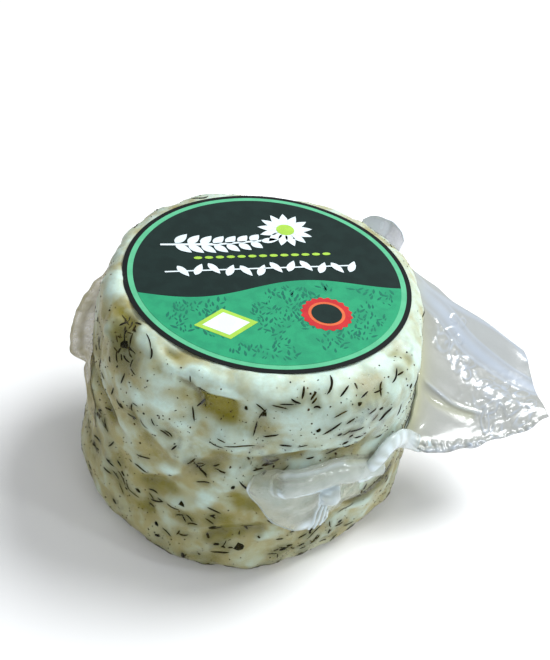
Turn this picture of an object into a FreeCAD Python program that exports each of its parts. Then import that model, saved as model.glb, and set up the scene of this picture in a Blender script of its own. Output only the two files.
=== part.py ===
import FreeCAD, Part
import math
import os

# A small sheep milk cheese, rolled in herbs and vacuum packed in clear film, with a round label on top.
#
# Millimetres, +Z up. The origin is the middle of the flat foot that the pack stands on, on the wheel's axis.
# The film's free tail, where the pouch was sealed, points along +X. Bearings are degrees round the wheel
# from +X towards +Y, so that -90 is the front.
#
# Pieces, one file each in parts/:
#   cheese    the wheel itself, pressed a little out of round, with the hollows that its film bridges
#   film_bag  the pouch: a thin skin round the whole wheel, and on it the parts that stand free
#             (tail, side fin, rolled edge, folded flap, ear)
#   label     the round sticker on the film's flat top

# ---- the packed wheel, over the film ----
WHEEL_RADIUS = 45.0  # at the top of the side
WHEEL_HEIGHT = 70.0  # foot to flat top
SIDE_TAPER = 0.6  # the foot's side is this much smaller in radius
FOOT_ROUNDING = 11.0
TOP_ROUNDING = 6.8
# Slow unevenness of the side, blended from the foot's to the top's:
# (lobes round the wheel, size, bearing of a crest).
FOOT_LOBES = ((1, 0.5, 125.0), (2, 1.8, 35.0), (3, 1.0, -6.0), (4, 1.8, 6.0), (7, 0.35, 20.0))
TOP_LOBES = ((1, 0.5, -78.0), (2, 0.8, -74.0), (3, 0.9, -44.0), (4, 1.9, -43.0))
# Hollows (and, with a minus, bulges) of the side:
# (bearing, height, half width, half height, depth).
HOLLOWS = (
    (-99.0, 60.0, 8.0, 5.5, 2.2),
    (-112.0, 66.0, 4.5, 5.0, 1.6),
    (-141.0, 44.0, 5.5, 6.0, 1.6),
    (-135.0, 67.0, 5.0, 4.5, 1.8),
    (-92.0, 31.0, 9.0, 4.5, 1.5),
    (-120.0, 33.0, 11.0, 4.0, 1.3),
    (-68.0, 48.0, 16.0, 3.5, 1.3),
    (-84.0, 15.0, 6.0, 5.0, 1.6),
    (-49.0, 17.0, 5.0, 6.5, 2.8),
    (-12.0, 62.0, 6.0, 8.0, 1.3),
    (170.0, 40.0, 9.0, 12.0, 1.4),
    (75.0, 35.0, 12.0, 8.0, 1.4),
    (120.0, 55.0, 8.0, 6.0, 1.3),
    (167.0, 63.0, 22.0, 8.0, 1.0),
    (-34.0, 22.0, 8.0, 14.0, -1.1),
    (-104.0, 6.0, 15.0, 7.0, -1.4),
    (-157.0, 16.0, 12.0, 12.0, -1.6),
    (-78.0, 57.0, 12.0, 8.0, -0.7),
    (-125.0, 52.0, 10.0, 7.0, -0.8),
    (35.0, 22.0, 12.0, 9.0, -0.9),
)

# ---- film ----
FILM_THICKNESS = 0.3  # of the skin that clings to the wheel
FILM_CLEARANCE = 0.2  # between the skin and the cheese
FREE_FILM_THICKNESS = 0.9  # two plies with their wrinkles, where the film stands free

# Tail: a sheet between a near edge and a far edge, from the wheel's side out to its end.
TAIL_NEAR_BEARING = -17.0
TAIL_NEAR_HEIGHT = 32.0
TAIL_NEAR_BOW = 6.5  # sideways, out from a straight edge
TAIL_NEAR_DROOP = 2.5  # the near edge hangs this much below a straight edge
TAIL_FAR_BEARING = 42.0
TAIL_FAR_BELOW_TOP = 4.5  # the far edge leaves the wheel this far under its top
TAIL_FAR_BOW = -1.5
TAIL_LENGTH = 39.0  # from the wheel's side to the end
TAIL_END_NEAR_Y = 2.0
TAIL_END_FAR_Y = 28.0
TAIL_END_FAR_HEIGHT = 40.0
TAIL_END_SLANT = 9.0  # the far corner ends this much short of the near one
TAIL_RIPPLE = 1.1
TAIL_RIPPLE_PITCH = 17.0

# Side fin: the pouch's end seam, which stands out round the back left of the wheel.
FIN_BACK_HEIGHT = 51.0
FIN_FRONT_HEIGHT = 43.0
FIN_REACH = 4.8  # beyond the wheel's side
FIN_FROM_BEARING = 132.0
FIN_TO_BEARING = 226.0
FIN_FULL_SHARE = 0.5  # how far along its run the fin starts to narrow
FIN_TAPER_ANGLE = 16.0  # over which the back end fades out

# Rolled edge: the near seam, which leaves the tail and lies round the front right.
ROLL_HEIGHT = 31.0
ROLL_RADIUS = 2.1
ROLL_FROM_BEARING = -46.0
ROLL_TO_BEARING = -12.0

# Folded flap: the pouch's near corner, pressed flat against the side. Outline as (bearing, height).
FLAP_OUTLINE = (
    (-27.0, 33.0),
    (-50.0, 38.0),
    (-74.0, 42.0),
    (-87.0, 39.0),
    (-72.0, 25.0),
    (-55.0, 15.0),
    (-44.0, 22.0),
)
FLAP_STANDS_OFF = 1.3  # its outside, above the skin

# Ear: the far corner, which stands up behind the label.
EAR_BEARING = 46.0
EAR_WIDTH = 14.0
EAR_ROOT_BELOW_TOP = 8.0
EAR_RISE = 10.5
EAR_LEAN = 35.0  # degrees out from upright

# ---- label ----
LABEL_MARGIN = 0.7  # from the edge of the flat top to the label's
LABEL_THICKNESS = 0.25

# ---- how finely the soft surfaces are laid out ----
ROUND_STATIONS = 54
SIDE_STATIONS = 22
DEGREE = 3


def bearing_gap(a, b):
    """Degrees from b to a, the short way round."""
    return (a - b + 180.0) % 360.0 - 180.0


def unevenness(bearing, height):
    """How far the side stands out from the plain round form, at a bearing and height."""
    up = height / WHEEL_HEIGHT
    out = 0.0
    for set_of_lobes, share in ((FOOT_LOBES, 1.0 - up), (TOP_LOBES, up)):
        for lobes, size, crest in set_of_lobes:
            out += size * share * math.cos(math.radians(lobes * (bearing - crest)))
    for where, level, half_width, half_height, depth in HOLLOWS:
        along = math.radians(bearing_gap(bearing, where)) * WHEEL_RADIUS / half_width
        rise = (height - level) / half_height
        out -= depth * math.exp(-along * along - rise * rise)
    return out


def wheel_profile(share):
    """Plain (radius, height, outward radial share, upward share), from the foot's flat edge to the top's."""
    foot_arc = FOOT_ROUNDING * math.pi / 2
    top_arc = TOP_ROUNDING * math.pi / 2
    side = WHEEL_HEIGHT - FOOT_ROUNDING - TOP_ROUNDING
    run = share * (foot_arc + side + top_arc)
    foot_radius = WHEEL_RADIUS - SIDE_TAPER
    if run < foot_arc:
        turn = run / FOOT_ROUNDING
        return (
            foot_radius - FOOT_ROUNDING * (1.0 - math.sin(turn)),
            FOOT_ROUNDING * (1.0 - math.cos(turn)),
            math.sin(turn),
            -math.cos(turn),
        )
    if run < foot_arc + side:
        up = (run - foot_arc) / side
        return foot_radius + SIDE_TAPER * up, FOOT_ROUNDING + side * up, 1.0, 0.0
    turn = (run - foot_arc - side) / TOP_ROUNDING
    return (
        WHEEL_RADIUS - TOP_ROUNDING * (1.0 - math.cos(turn)),
        WHEEL_HEIGHT - TOP_ROUNDING * (1.0 - math.sin(turn)),
        math.cos(turn),
        math.sin(turn),
    )


def clamped_knots(poles):
    """Knots and multiplicities of an open cubic with that many poles."""
    inner = poles - DEGREE - 1
    return [float(i) for i in range(inner + 2)], [DEGREE + 1] + [1] * inner + [DEGREE + 1]


def solid_of(faces):
    """One closed solid from faces that share their edges."""
    shell = Part.Shell(faces)
    shell.sewShape()
    solid = Part.Solid(shell.Shells[0] if shell.Shells else shell)
    if solid.Volume < 0:
        solid.reverse()
    return solid


def wheel_solid(inset):
    """The wheel's form, moved in from the outside of the film by inset all round."""
    rows = []
    for i in range(ROUND_STATIONS):
        bearing = 360.0 * i / ROUND_STATIONS
        row = []
        for j in range(SIDE_STATIONS):
            radius, height, out, up = wheel_profile(j / (SIDE_STATIONS - 1))
            radius += out * (unevenness(bearing, height) - inset)
            height -= up * inset
            angle = math.radians(bearing)
            row.append(FreeCAD.Vector(radius * math.cos(angle), radius * math.sin(angle), height))
        rows.append(row)
    side_knots, side_mults = clamped_knots(SIDE_STATIONS)
    surface = Part.BSplineSurface()
    surface.buildFromPolesMultsKnots(
        rows,
        [1] * (ROUND_STATIONS + 1),
        side_mults,
        [float(i) for i in range(ROUND_STATIONS + 1)],
        side_knots,
        True,
        False,
        DEGREE,
        DEGREE,
    )
    side = surface.toShape()
    rims = [e for e in side.Edges if e.BoundBox.ZLength < 1e-6]
    return solid_of([side] + [Part.Face(Part.Wire([rim])) for rim in rims])


def sheet_face(points):
    """A smooth open surface whose poles are a grid of points."""
    u_knots, u_mults = clamped_knots(len(points))
    v_knots, v_mults = clamped_knots(len(points[0]))
    surface = Part.BSplineSurface()
    surface.buildFromPolesMultsKnots(points, u_mults, v_mults, u_knots, v_knots, False, False, DEGREE, DEGREE)
    return surface


def plate_solid(middle, thickness):
    """A closed plate of that thickness, measured along Z, about a grid of points."""
    half = FreeCAD.Vector(0, 0, thickness / 2)
    upper = sheet_face([[p + half for p in row] for row in middle])
    lower = sheet_face([[p - half for p in row] for row in middle])
    faces = [upper.toShape(), lower.toShape()]
    for along_u in (True, False):
        for at_end in (False, True):
            pair = []
            for surface in (upper, lower):
                first_u, last_u, first_v, last_v = surface.bounds()
                if along_u:
                    pair.append(surface.vIso(last_v if at_end else first_v).toShape())
                else:
                    pair.append(surface.uIso(last_u if at_end else first_u).toShape())
            faces.append(Part.makeRuledSurface(*pair))
    return solid_of(faces)


def on_side(bearing, height, beyond=0.0):
    """A point of the plain side, or beyond it."""
    angle = math.radians(bearing)
    radius = WHEEL_RADIUS + beyond
    return FreeCAD.Vector(radius * math.cos(angle), radius * math.sin(angle), height)


def tail_solid():
    """The sealed end of the pouch: a slanted sheet with soft ripples along it, rooted inside the skin."""
    columns, lines, rooted = 9, 9, 8.0
    far_height = WHEEL_HEIGHT - TAIL_FAR_BELOW_TOP
    near_root = on_side(TAIL_NEAR_BEARING, TAIL_NEAR_HEIGHT, -rooted)
    far_root = on_side(TAIL_FAR_BEARING, far_height, -rooted)
    end_x = WHEEL_RADIUS + TAIL_LENGTH
    near_end = FreeCAD.Vector(end_x, TAIL_END_NEAR_Y, TAIL_NEAR_HEIGHT)
    far_end = FreeCAD.Vector(end_x - TAIL_END_SLANT, TAIL_END_FAR_Y, TAIL_END_FAR_HEIGHT)
    grid = []
    for i in range(columns):
        out = i / (columns - 1)
        bow = math.sin(math.pi * out**0.75)
        near_bow = FreeCAD.Vector(0, -TAIL_NEAR_BOW, -TAIL_NEAR_DROOP) * bow
        far_bow = FreeCAD.Vector(0, TAIL_FAR_BOW, 0) * bow
        near = near_root + (near_end - near_root) * out + near_bow
        far = far_root + (far_end - far_root) * out + far_bow
        row = []
        for j in range(lines):
            point = near + (far - near) * (j / (lines - 1))
            ripple = math.sin(2 * math.pi * point.y / TAIL_RIPPLE_PITCH) * TAIL_RIPPLE * out
            row.append(point + FreeCAD.Vector(0, 0, ripple))
        grid.append(row)
    return plate_solid(grid, FREE_FILM_THICKNESS)


def fin_solid():
    """The end seam: a narrow rim that fades in from the skin at the back and narrows towards the front."""
    rooted, steps, across = 6.0, 20, 4
    grid = []
    for i in range(steps + 1):
        along = i / steps
        bearing = FIN_FROM_BEARING + (FIN_TO_BEARING - FIN_FROM_BEARING) * along
        height = FIN_BACK_HEIGHT + (FIN_FRONT_HEIGHT - FIN_BACK_HEIGHT) * along
        rise = math.sin(min(1.0, (bearing - FIN_FROM_BEARING) / FIN_TAPER_ANGLE) * math.pi / 2)
        fall = 1.0 - max(0.0, along - FIN_FULL_SHARE) / (1.0 - FIN_FULL_SHARE)
        reach = FIN_REACH * min(rise, fall)
        row = []
        for j in range(across + 1):
            row.append(on_side(bearing, height, -rooted + (rooted + reach) * j / across))
        grid.append(row)
    return plate_solid(grid, FREE_FILM_THICKNESS)


def roll_solid():
    """The near seam, rolled into a bead against the side."""
    bead = Part.makeTorus(
        WHEEL_RADIUS,
        ROLL_RADIUS,
        FreeCAD.Vector(0, 0, ROLL_HEIGHT),
        FreeCAD.Vector(0, 0, 1),
        -180,
        180,
        ROLL_TO_BEARING - ROLL_FROM_BEARING,
    )
    bead.rotate(FreeCAD.Vector(0, 0, 0), FreeCAD.Vector(0, 0, 1), ROLL_FROM_BEARING)
    for bearing in (ROLL_FROM_BEARING, ROLL_TO_BEARING):
        bead = bead.fuse(Part.makeSphere(ROLL_RADIUS, on_side(bearing, ROLL_HEIGHT)))
    return bead


def flap_solid():
    """The folded corner: its outline cut from the wheel's form, a little off the skin."""
    bearings = [bearing for bearing, _ in FLAP_OUTLINE]
    facing = (min(bearings) + max(bearings)) / 2
    outline = []
    for bearing, height in FLAP_OUTLINE:
        across = WHEEL_RADIUS * math.sin(math.radians(bearing - facing))
        outline.append(FreeCAD.Vector(WHEEL_RADIUS / 2, across, height))
    edge = Part.BSplineCurve()
    edge.interpolate(outline, PeriodicFlag=True)
    block = Part.Face(Part.Wire([edge.toShape()])).extrude(FreeCAD.Vector(WHEEL_RADIUS, 0, 0))
    block.rotate(FreeCAD.Vector(0, 0, 0), FreeCAD.Vector(0, 0, 1), facing)
    return wheel_solid(-FLAP_STANDS_OFF).common(block)


def ear_solid():
    """The far corner: a rounded tab that leans out from the top's rounding."""
    outline = []
    for i in range(12):
        turn = 2 * math.pi * i / 12
        outline.append(FreeCAD.Vector(0, EAR_WIDTH / 2 * math.sin(turn), EAR_RISE * math.cos(turn)))
    edge = Part.BSplineCurve()
    edge.interpolate(outline, PeriodicFlag=True)
    tab = Part.Face(Part.Wire([edge.toShape()])).extrude(FreeCAD.Vector(FREE_FILM_THICKNESS, 0, 0))
    tab.rotate(FreeCAD.Vector(0, 0, 0), FreeCAD.Vector(0, 1, 0), EAR_LEAN)
    tab.rotate(FreeCAD.Vector(0, 0, 0), FreeCAD.Vector(0, 0, 1), EAR_BEARING)
    tab.translate(on_side(EAR_BEARING, WHEEL_HEIGHT - EAR_ROOT_BELOW_TOP, -TOP_ROUNDING / 2))
    return tab


def film_bag():
    """The pouch: skin and free parts in one, hollow where the cheese is."""
    outside = wheel_solid(0.0)
    for free in (tail_solid(), fin_solid(), roll_solid(), flap_solid(), ear_solid()):
        outside = outside.fuse(free)
    return outside.cut(wheel_solid(FILM_THICKNESS))


def cheese():
    """The wheel, inside its skin."""
    return wheel_solid(FILM_THICKNESS + FILM_CLEARANCE)


def label():
    """The sticker, flat on the film's top."""
    radius = WHEEL_RADIUS - TOP_ROUNDING - LABEL_MARGIN
    return Part.makeCylinder(radius, LABEL_THICKNESS, FreeCAD.Vector(0, 0, WHEEL_HEIGHT))


def main():
    os.makedirs("parts", exist_ok=True)
    for name, make in (("cheese", cheese), ("film_bag", film_bag), ("label", label)):
        shape = make()
        print(name, shape.isValid(), len(shape.Solids), round(shape.Volume, 1))
        shape.exportStep("parts/" + name + ".step")


main()
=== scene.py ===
"""A small sheep milk cheese in herbs, vacuum packed in clear film, with a round printed label on its top.

Each operator makes one piece of the pack. Lengths in the settings are metres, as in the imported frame;
the mesh code works in millimetres and scales at the end. Bearings are degrees round the wheel from +X
towards +Y, so that -90 is the front.
"""
import math

import bmesh
import bpy
import numpy as np
from mathutils import Matrix, Vector
from mathutils.bvhtree import BVHTree


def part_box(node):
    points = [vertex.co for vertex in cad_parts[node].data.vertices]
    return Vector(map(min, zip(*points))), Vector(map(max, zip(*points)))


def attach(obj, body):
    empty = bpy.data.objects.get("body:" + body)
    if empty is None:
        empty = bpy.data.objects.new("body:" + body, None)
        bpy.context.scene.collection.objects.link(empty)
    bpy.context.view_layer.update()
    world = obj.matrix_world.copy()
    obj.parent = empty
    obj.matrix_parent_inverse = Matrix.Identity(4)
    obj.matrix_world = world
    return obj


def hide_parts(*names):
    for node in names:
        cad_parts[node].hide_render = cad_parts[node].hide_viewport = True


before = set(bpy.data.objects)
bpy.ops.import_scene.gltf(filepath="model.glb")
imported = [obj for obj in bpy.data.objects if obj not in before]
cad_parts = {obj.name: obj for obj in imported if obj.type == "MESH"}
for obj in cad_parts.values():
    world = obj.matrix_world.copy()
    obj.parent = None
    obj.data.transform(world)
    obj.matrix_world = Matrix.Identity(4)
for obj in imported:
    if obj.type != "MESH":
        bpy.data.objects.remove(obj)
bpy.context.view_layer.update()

bl_info = {
    "name": "Vacuum packed cheese",
    "version": (1, 0, 0),
    "blender": (4, 5, 0),
    "location": "View3D > Sidebar > Cheese",
    "description": "Makes a small herb cheese in its clear film pouch, with a round label",
    "category": "Object",
}

WHEEL_LOW, WHEEL_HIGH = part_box("cheese")
LABEL_LOW, LABEL_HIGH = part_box("label")
BAG_LOW, BAG_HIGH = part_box("film_bag")
MM = 0.001
SEED = 29
CURD_ROUNDS = 480
SKIN_ROUNDS = 300

# The wheel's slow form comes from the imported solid; these lay out the rays that read it.
WHEEL_RADIUS = 45.0
WHEEL_HEIGHT = 1000 * LABEL_LOW.z
FOOT_ROUNDING = 11.0
TOP_ROUNDING = 6.8

# Tables below give heights as levels: millimetres up the side, carried on over the shoulder.
# Where yellow-green whey has gathered under the film: (bearing, level, half width, half height, strength).
WHEY_POOLS = (
    (-99.0, 62.0, 5.0, 4.4, 1.8),
    (-148.0, 71.5, 4.2, 1.8, 0.7),
    (-142.5, 72.3, 3.0, 1.7, 0.95),
    (-141.0, 68.4, 2.8, 2.6, 1.0),
    (-136.5, 66.2, 2.2, 2.2, 1.0),
    (-120.5, 72.3, 2.8, 1.4, 0.9),
    (-153.0, 63.0, 4.4, 5.0, 0.9),
    (-108.5, 63.0, 4.6, 2.6, 0.55),
    (-90.5, 57.0, 6.0, 2.6, 0.55),
    (-143.0, 60.5, 3.4, 5.0, 0.6),
    (-151.0, 50.0, 3.2, 6.5, 0.55),
    (-139.0, 53.0, 2.6, 3.4, 0.4),
    (-146.0, 67.0, 4.0, 1.8, 0.5),
    (-128.0, 47.0, 3.6, 3.0, 0.4),
    (-133.0, 30.0, 4.0, 4.0, 0.5),
    (-146.0, 27.0, 3.0, 7.0, 0.5),
    (-106.0, 22.0, 5.0, 2.6, 0.5),
    (-72.0, 13.0, 5.0, 2.4, 0.45),
    (-100.0, 9.0, 6.0, 2.2, 0.5),
    (-140.5, 41.5, 2.6, 3.0, 1.1),
    (-121.0, 66.8, 3.0, 2.0, 0.6),
    (-121.0, 28.0, 5.0, 2.4, 0.6),
    (-112.5, 29.8, 4.2, 2.2, 0.9),
    (-122.3, 18.0, 3.4, 2.6, 0.9),
    (-118.5, 39.5, 3.4, 2.2, 0.5),
    (-100.0, 47.0, 6.0, 2.0, 0.55),
    (-90.0, 33.0, 3.6, 3.6, 0.75),
    (-84.0, 30.4, 4.4, 3.4, 1.0),
    (-93.2, 24.0, 4.6, 2.4, 1.0),
    (-93.5, 18.0, 4.0, 2.8, 0.9),
    (-70.0, 52.5, 4.2, 2.2, 0.45),
    (-38.0, 62.0, 2.2, 5.0, 0.5),
    (-51.0, 67.5, 3.0, 2.0, 0.35),
    (-47.0, 70.0, 3.0, 1.8, 0.40),
    (-34.0, 72.0, 3.6, 1.6, 0.50),
    (-30.5, 68.5, 2.6, 2.6, 0.50),
    (-45.3, 62.4, 1.6, 2.6, 0.60),
    (-42.0, 55.7, 2.2, 4.0, 0.35),
    (-50.0, 50.5, 3.0, 2.2, 0.40),
    (-64.0, 48.0, 12.0, 2.6, 0.30),
    (-40.0, 49.0, 5.0, 5.0, 0.30),
    (-22.0, 48.0, 4.0, 14.0, 0.35),
    (-24.0, 60.0, 2.4, 5.0, 0.45),
    (-50.0, 47.0, 3.0, 2.0, 0.35),
    (-52.0, 19.0, 3.0, 4.0, 0.5),
    (150.0, 45.0, 4.0, 4.0, 0.6),
    (100.0, 40.0, 6.0, 3.0, 0.6),
    (60.0, 52.0, 4.0, 3.0, 0.5),
    (200.0, 22.0, 3.0, 3.0, 0.6),
    (125.0, 24.0, 5.0, 3.0, 0.6),
)
# Lumps of curd that stand up, their tops painted whiter as lit: (bearing, level, half width, half height, how
# high).
WHITE_LUMPS = (
    (-128.5, 70.6, 4.6, 2.4, 0.9),
    (-135.5, 72.6, 2.0, 1.4, 0.5),
    (-161.0, 73.0, 5.0, 2.6, 0.8),
    (-147.0, 66.5, 2.6, 3.0, 0.5),
    (-106.0, 70.6, 5.0, 2.0, 0.7),
    (-116.0, 68.5, 4.0, 2.0, 0.5),
    (-116.0, 58.0, 3.0, 2.4, 0.7),
    (-119.5, 49.5, 3.4, 3.4, 0.8),
    (-95.0, 53.5, 3.6, 3.4, 0.8),
    (-125.0, 56.5, 2.6, 3.0, 0.6),
    (-109.0, 53.5, 2.4, 2.0, 0.4),
    (-99.0, 66.5, 4.0, 1.6, 0.6),
    (-131.0, 41.5, 3.0, 3.0, 0.6),
    (-113.0, 37.0, 3.4, 2.0, 0.6),
    (-124.0, 32.0, 3.0, 2.0, 0.5),
    (-100.0, 31.0, 2.6, 3.0, 0.6),
    (-108.0, 26.0, 3.4, 1.8, 0.5),
    (-97.0, 14.0, 3.0, 2.2, 0.5),
    (-80.0, 19.0, 3.4, 2.2, 0.5),
    (-47.0, 16.0, 4.0, 3.0, 0.5),
    (-41.0, 21.0, 4.0, 2.0, 0.7),
    (170.0, 30.0, 5.0, 4.0, 0.6),
    (140.0, 60.0, 5.0, 4.0, 0.6),
    (90.0, 58.0, 6.0, 4.0, 0.6),
    (110.0, 33.0, 5.0, 4.0, 0.6),
    (70.0, 30.0, 4.0, 5.0, 0.6),
)
# Creases pressed into the curd by the film: (line of (bearing, height), half width, depth).
CREASES = (
    (((-122.0, 29.0), (-112.0, 33.0), (-104.0, 42.0), (-96.0, 46.0), (-84.0, 47.0),
      (-68.0, 49.0), (-54.0, 48.0)),
     1.5, 0.9),
    (((-113.5, 67.0), (-110.0, 66.5), (-107.3, 65.0), (-105.8, 62.5), (-105.5, 60.0)), 0.7, 1.1),
    (((-26.0, 27.5), (-32.0, 25.4), (-38.0, 24.4), (-48.0, 24.6)), 1.3, 1.8),
    (((-128.0, 50.0), (-122.0, 43.0), (-112.0, 40.0)), 1.3, 0.6),
    (((170.0, 52.0), (190.0, 48.0), (212.0, 44.0), (228.0, 40.0)), 1.4, 0.9),
    (((70.0, 46.0), (100.0, 45.0), (130.0, 50.0)), 1.4, 0.8),
    (((-80.0, 22.0), (-92.0, 20.0), (-104.0, 16.0)), 1.3, 0.8),
)


# ---------------------------------------------------------------- settings


class CheeseSettings(bpy.types.PropertyGroup):
    curd_colour: bpy.props.FloatVectorProperty(
        name="Curd", description="Colour of the white curd", subtype="COLOR",
        default=(0.52, 0.67, 0.60), size=3)
    # The shaded curd colour is painted shade in the dents and on the left, back and low side; the fine grain
    # is mottled with it too.
    shade_colour: bpy.props.FloatVectorProperty(
        name="Shaded curd", description="Colour of the curd's dents", subtype="COLOR",
        default=(0.340, 0.308, 0.135), size=3)
    whey_colour: bpy.props.FloatVectorProperty(
        name="Whey", description="Colour of the whey in the deep dents", subtype="COLOR",
        default=(0.18, 0.155, 0.0), size=3)
    stain_colour: bpy.props.FloatVectorProperty(
        name="Herb stain", description="Colour of the curd close to herbs", subtype="COLOR",
        default=(0.11, 0.11, 0.035), size=3)
    lump_height: bpy.props.FloatProperty(
        name="Lump height", description="Height of the curd's lumps", default=0.0006, unit="LENGTH")


class HerbSettings(bpy.types.PropertyGroup):
    strand_count: bpy.props.IntProperty(
        name="Strands", description="How many herb strands lie on the curd", default=430, min=0)
    speck_count: bpy.props.IntProperty(
        name="Specks", description="How many small specks lie on the curd", default=2100, min=0)
    flake_count: bpy.props.IntProperty(
        name="Flakes", description="How many leaf flakes lie on the curd", default=90, min=0)
    strand_length: bpy.props.FloatProperty(
        name="Strand length", description="Length of a common strand", default=0.0033, unit="LENGTH")
    strand_width: bpy.props.FloatProperty(
        name="Strand width", description="Width of a common strand", default=0.00048, unit="LENGTH")


class FilmSettings(bpy.types.PropertyGroup):
    skin_gap: bpy.props.FloatProperty(
        name="Skin gap", description="From the curd to the film that clings to it", default=0.00022,
        unit="LENGTH")
    film_colour: bpy.props.FloatVectorProperty(
        name="Film", description="Tint of the film", subtype="COLOR", default=(0.325, 0.335, 0.315), size=3)
    # The fold tint is a painted glint: pale blue where folds, blisters and bands catch the light.
    glint_colour: bpy.props.FloatVectorProperty(
        name="Film folds", description="Tint of the film's folds and blisters", subtype="COLOR",
        default=(0.36, 0.41, 0.485), size=3)
    laid_colour: bpy.props.FloatVectorProperty(
        name="Folded film", description="Tint of the film folded down on the cheese", subtype="COLOR",
        default=(0.53, 0.57, 0.48), size=3)
    rim_colour: bpy.props.FloatVectorProperty(
        name="Film rim", description="Tint of the end seam's rim", subtype="COLOR",
        default=(0.37, 0.32, 0.15), size=3)
    cream_colour: bpy.props.FloatVectorProperty(
        name="Film roots", description="Tint of the film where it leaves the cheese", subtype="COLOR",
        default=(0.40, 0.41, 0.27), size=3)


class LabelSettings(bpy.types.PropertyGroup):
    rim_width: bpy.props.FloatProperty(
        name="Rim", description="Width of the label's dark rim", default=0.0013, unit="LENGTH")
    ring_width: bpy.props.FloatProperty(
        name="Ring", description="Width of the pale ring inside the rim", default=0.0014, unit="LENGTH")


class StageSettings(bpy.types.PropertyGroup):
    camera_distance: bpy.props.FloatProperty(
        name="Camera distance", description="From the camera to what it looks at", default=0.3104,
        unit="LENGTH")
    camera_lens: bpy.props.FloatProperty(
        name="Lens", description="Focal length on a 36 mm frame", default=63.23, subtype="NONE")


# ---------------------------------------------------------------- mesh helpers


def soft_noise(points, size, seed):
    """Smooth noise from about -1 to 1 at each point, with lumps of that size."""
    rng = np.random.default_rng(SEED + seed)
    order = rng.permutation(512)
    leans = rng.normal(size=(512, 3))
    leans /= np.linalg.norm(leans, axis=1, keepdims=True)
    cell = points / size + 100.0
    base = np.floor(cell).astype(int)
    part = cell - base
    ease = part * part * part * (part * (part * 6 - 15) + 10)
    total = np.zeros(len(points))
    for corner in range(8):
        step = np.array([corner & 1, corner >> 1 & 1, corner >> 2 & 1])
        at = base + step
        pick = order[(order[(order[at[:, 0] % 512] + at[:, 1]) % 512] + at[:, 2]) % 512]
        weight = np.prod(np.where(step, ease, 1 - ease), axis=1)
        total += weight * np.einsum("ij,ij->i", leans[pick], part - step)
    return total * 1.6


def flat_noise(across, up, size, seed):
    """Smooth noise over a flat sheet, in the shape of its grid."""
    glint_spots = np.stack([across, up, np.zeros_like(across)], -1).reshape(-1, 3)
    return soft_noise(glint_spots, size, seed).reshape(across.shape)


def smooth_step(x, low, high):
    """0 below low, 1 above high, and an even rise between."""
    t = np.clip((x - low) / (high - low), 0, 1)
    return t * t * (3 - 2 * t)


def hump(away, width):
    """1 where away is 0, falling off smoothly to both sides over about that width."""
    return np.exp(-(away / width) ** 2)


def unit(ways):
    """The same ways, each of length 1."""
    return ways / np.maximum(np.linalg.norm(ways, axis=-1, keepdims=True), 1e-9)


def round_point(out, bearing, height):
    """A point that far out from the middle line, at a bearing and a height."""
    turn = math.radians(bearing)
    return np.array([out * math.cos(turn), out * math.sin(turn), height])


def mesh_piece(name, points, faces, material):
    """A smooth mesh object from points in millimetres."""
    mesh = bpy.data.meshes.new(name)
    mesh.from_pydata((np.asarray(points, float) * MM).tolist(), [], faces)
    mesh.validate()
    mesh.polygons.foreach_set("use_smooth", [True] * len(mesh.polygons))
    mesh.update()
    piece = bpy.data.objects.new(name, mesh)
    bpy.context.scene.collection.objects.link(piece)
    mesh.materials.append(material)
    return piece


def point_values(piece, name, values):
    """Stores one number per point, for the materials to read."""
    store = piece.data.attributes.new(name, "FLOAT", "POINT")
    store.data.foreach_set("value", np.asarray(values, np.float32))


def face_out(piece):
    """Turns all of a closed mesh's faces outwards."""
    work = bmesh.new()
    work.from_mesh(piece.data)
    bmesh.ops.recalc_face_normals(work, faces=work.faces)
    work.to_mesh(piece.data)
    work.free()


def belongs(piece, slot, *nodes):
    """Hangs a finished piece on the root body and hides the imported parts that it stands for; slot is not
    used.
    """
    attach(piece, "root")
    if nodes:
        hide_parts(*nodes)
    return piece


def reader_of(node):
    """A tree that rays can be cast on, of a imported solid."""
    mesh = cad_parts[node].data
    faces = [tuple(face.vertices) for face in mesh.polygons]
    return BVHTree.FromPolygons([v.co for v in mesh.vertices], faces)


# ---------------------------------------------------------------- the wheel's form

FOOT_FLAT = WHEEL_RADIUS - FOOT_ROUNDING
FOOT_ARC = FOOT_ROUNDING * math.pi / 2
SIDE = WHEEL_HEIGHT - FOOT_ROUNDING - TOP_ROUNDING
TOP_ARC = TOP_ROUNDING * math.pi / 2
TOP_FLAT = WHEEL_RADIUS - TOP_ROUNDING
SIDE_START = FOOT_FLAT + FOOT_ARC
TOP_START = SIDE_START + SIDE
TOP_END = TOP_START + TOP_ARC
WHOLE_RUN = TOP_END + TOP_FLAT


def wheel_at(run):
    """Plain radius, height, outward and upward share at each run from the foot's middle to the top's."""
    run = np.asarray(run, float)
    foot = np.clip((run - FOOT_FLAT) / FOOT_ROUNDING, 0, math.pi / 2)
    top = np.clip((run - TOP_START) / TOP_ROUNDING, 0, math.pi / 2)
    radius = np.minimum(run, FOOT_FLAT) + FOOT_ROUNDING * np.sin(foot) - TOP_ROUNDING * (1 - np.cos(top))
    radius = radius - np.maximum(run - TOP_END, 0)
    height = FOOT_ROUNDING * (1 - np.cos(foot)) + np.clip(run - SIDE_START, 0, SIDE)
    height = height + TOP_ROUNDING * np.sin(top)
    out = np.where(run < SIDE_START, np.sin(foot), np.cos(top))
    up = np.where(run < SIDE_START, -np.cos(foot), np.sin(top))
    return radius, height, out, up


def run_at(height):
    """The run along the wheel's outline at a height."""
    if height < FOOT_ROUNDING:
        return FOOT_FLAT + FOOT_ROUNDING * math.acos(1 - height / FOOT_ROUNDING)
    if height > WHEEL_HEIGHT - TOP_ROUNDING:
        rise = min(1.0, 1 - (WHEEL_HEIGHT - height) / TOP_ROUNDING)
        return TOP_START + TOP_ROUNDING * math.asin(rise)
    return SIDE_START + height - FOOT_ROUNDING


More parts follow.
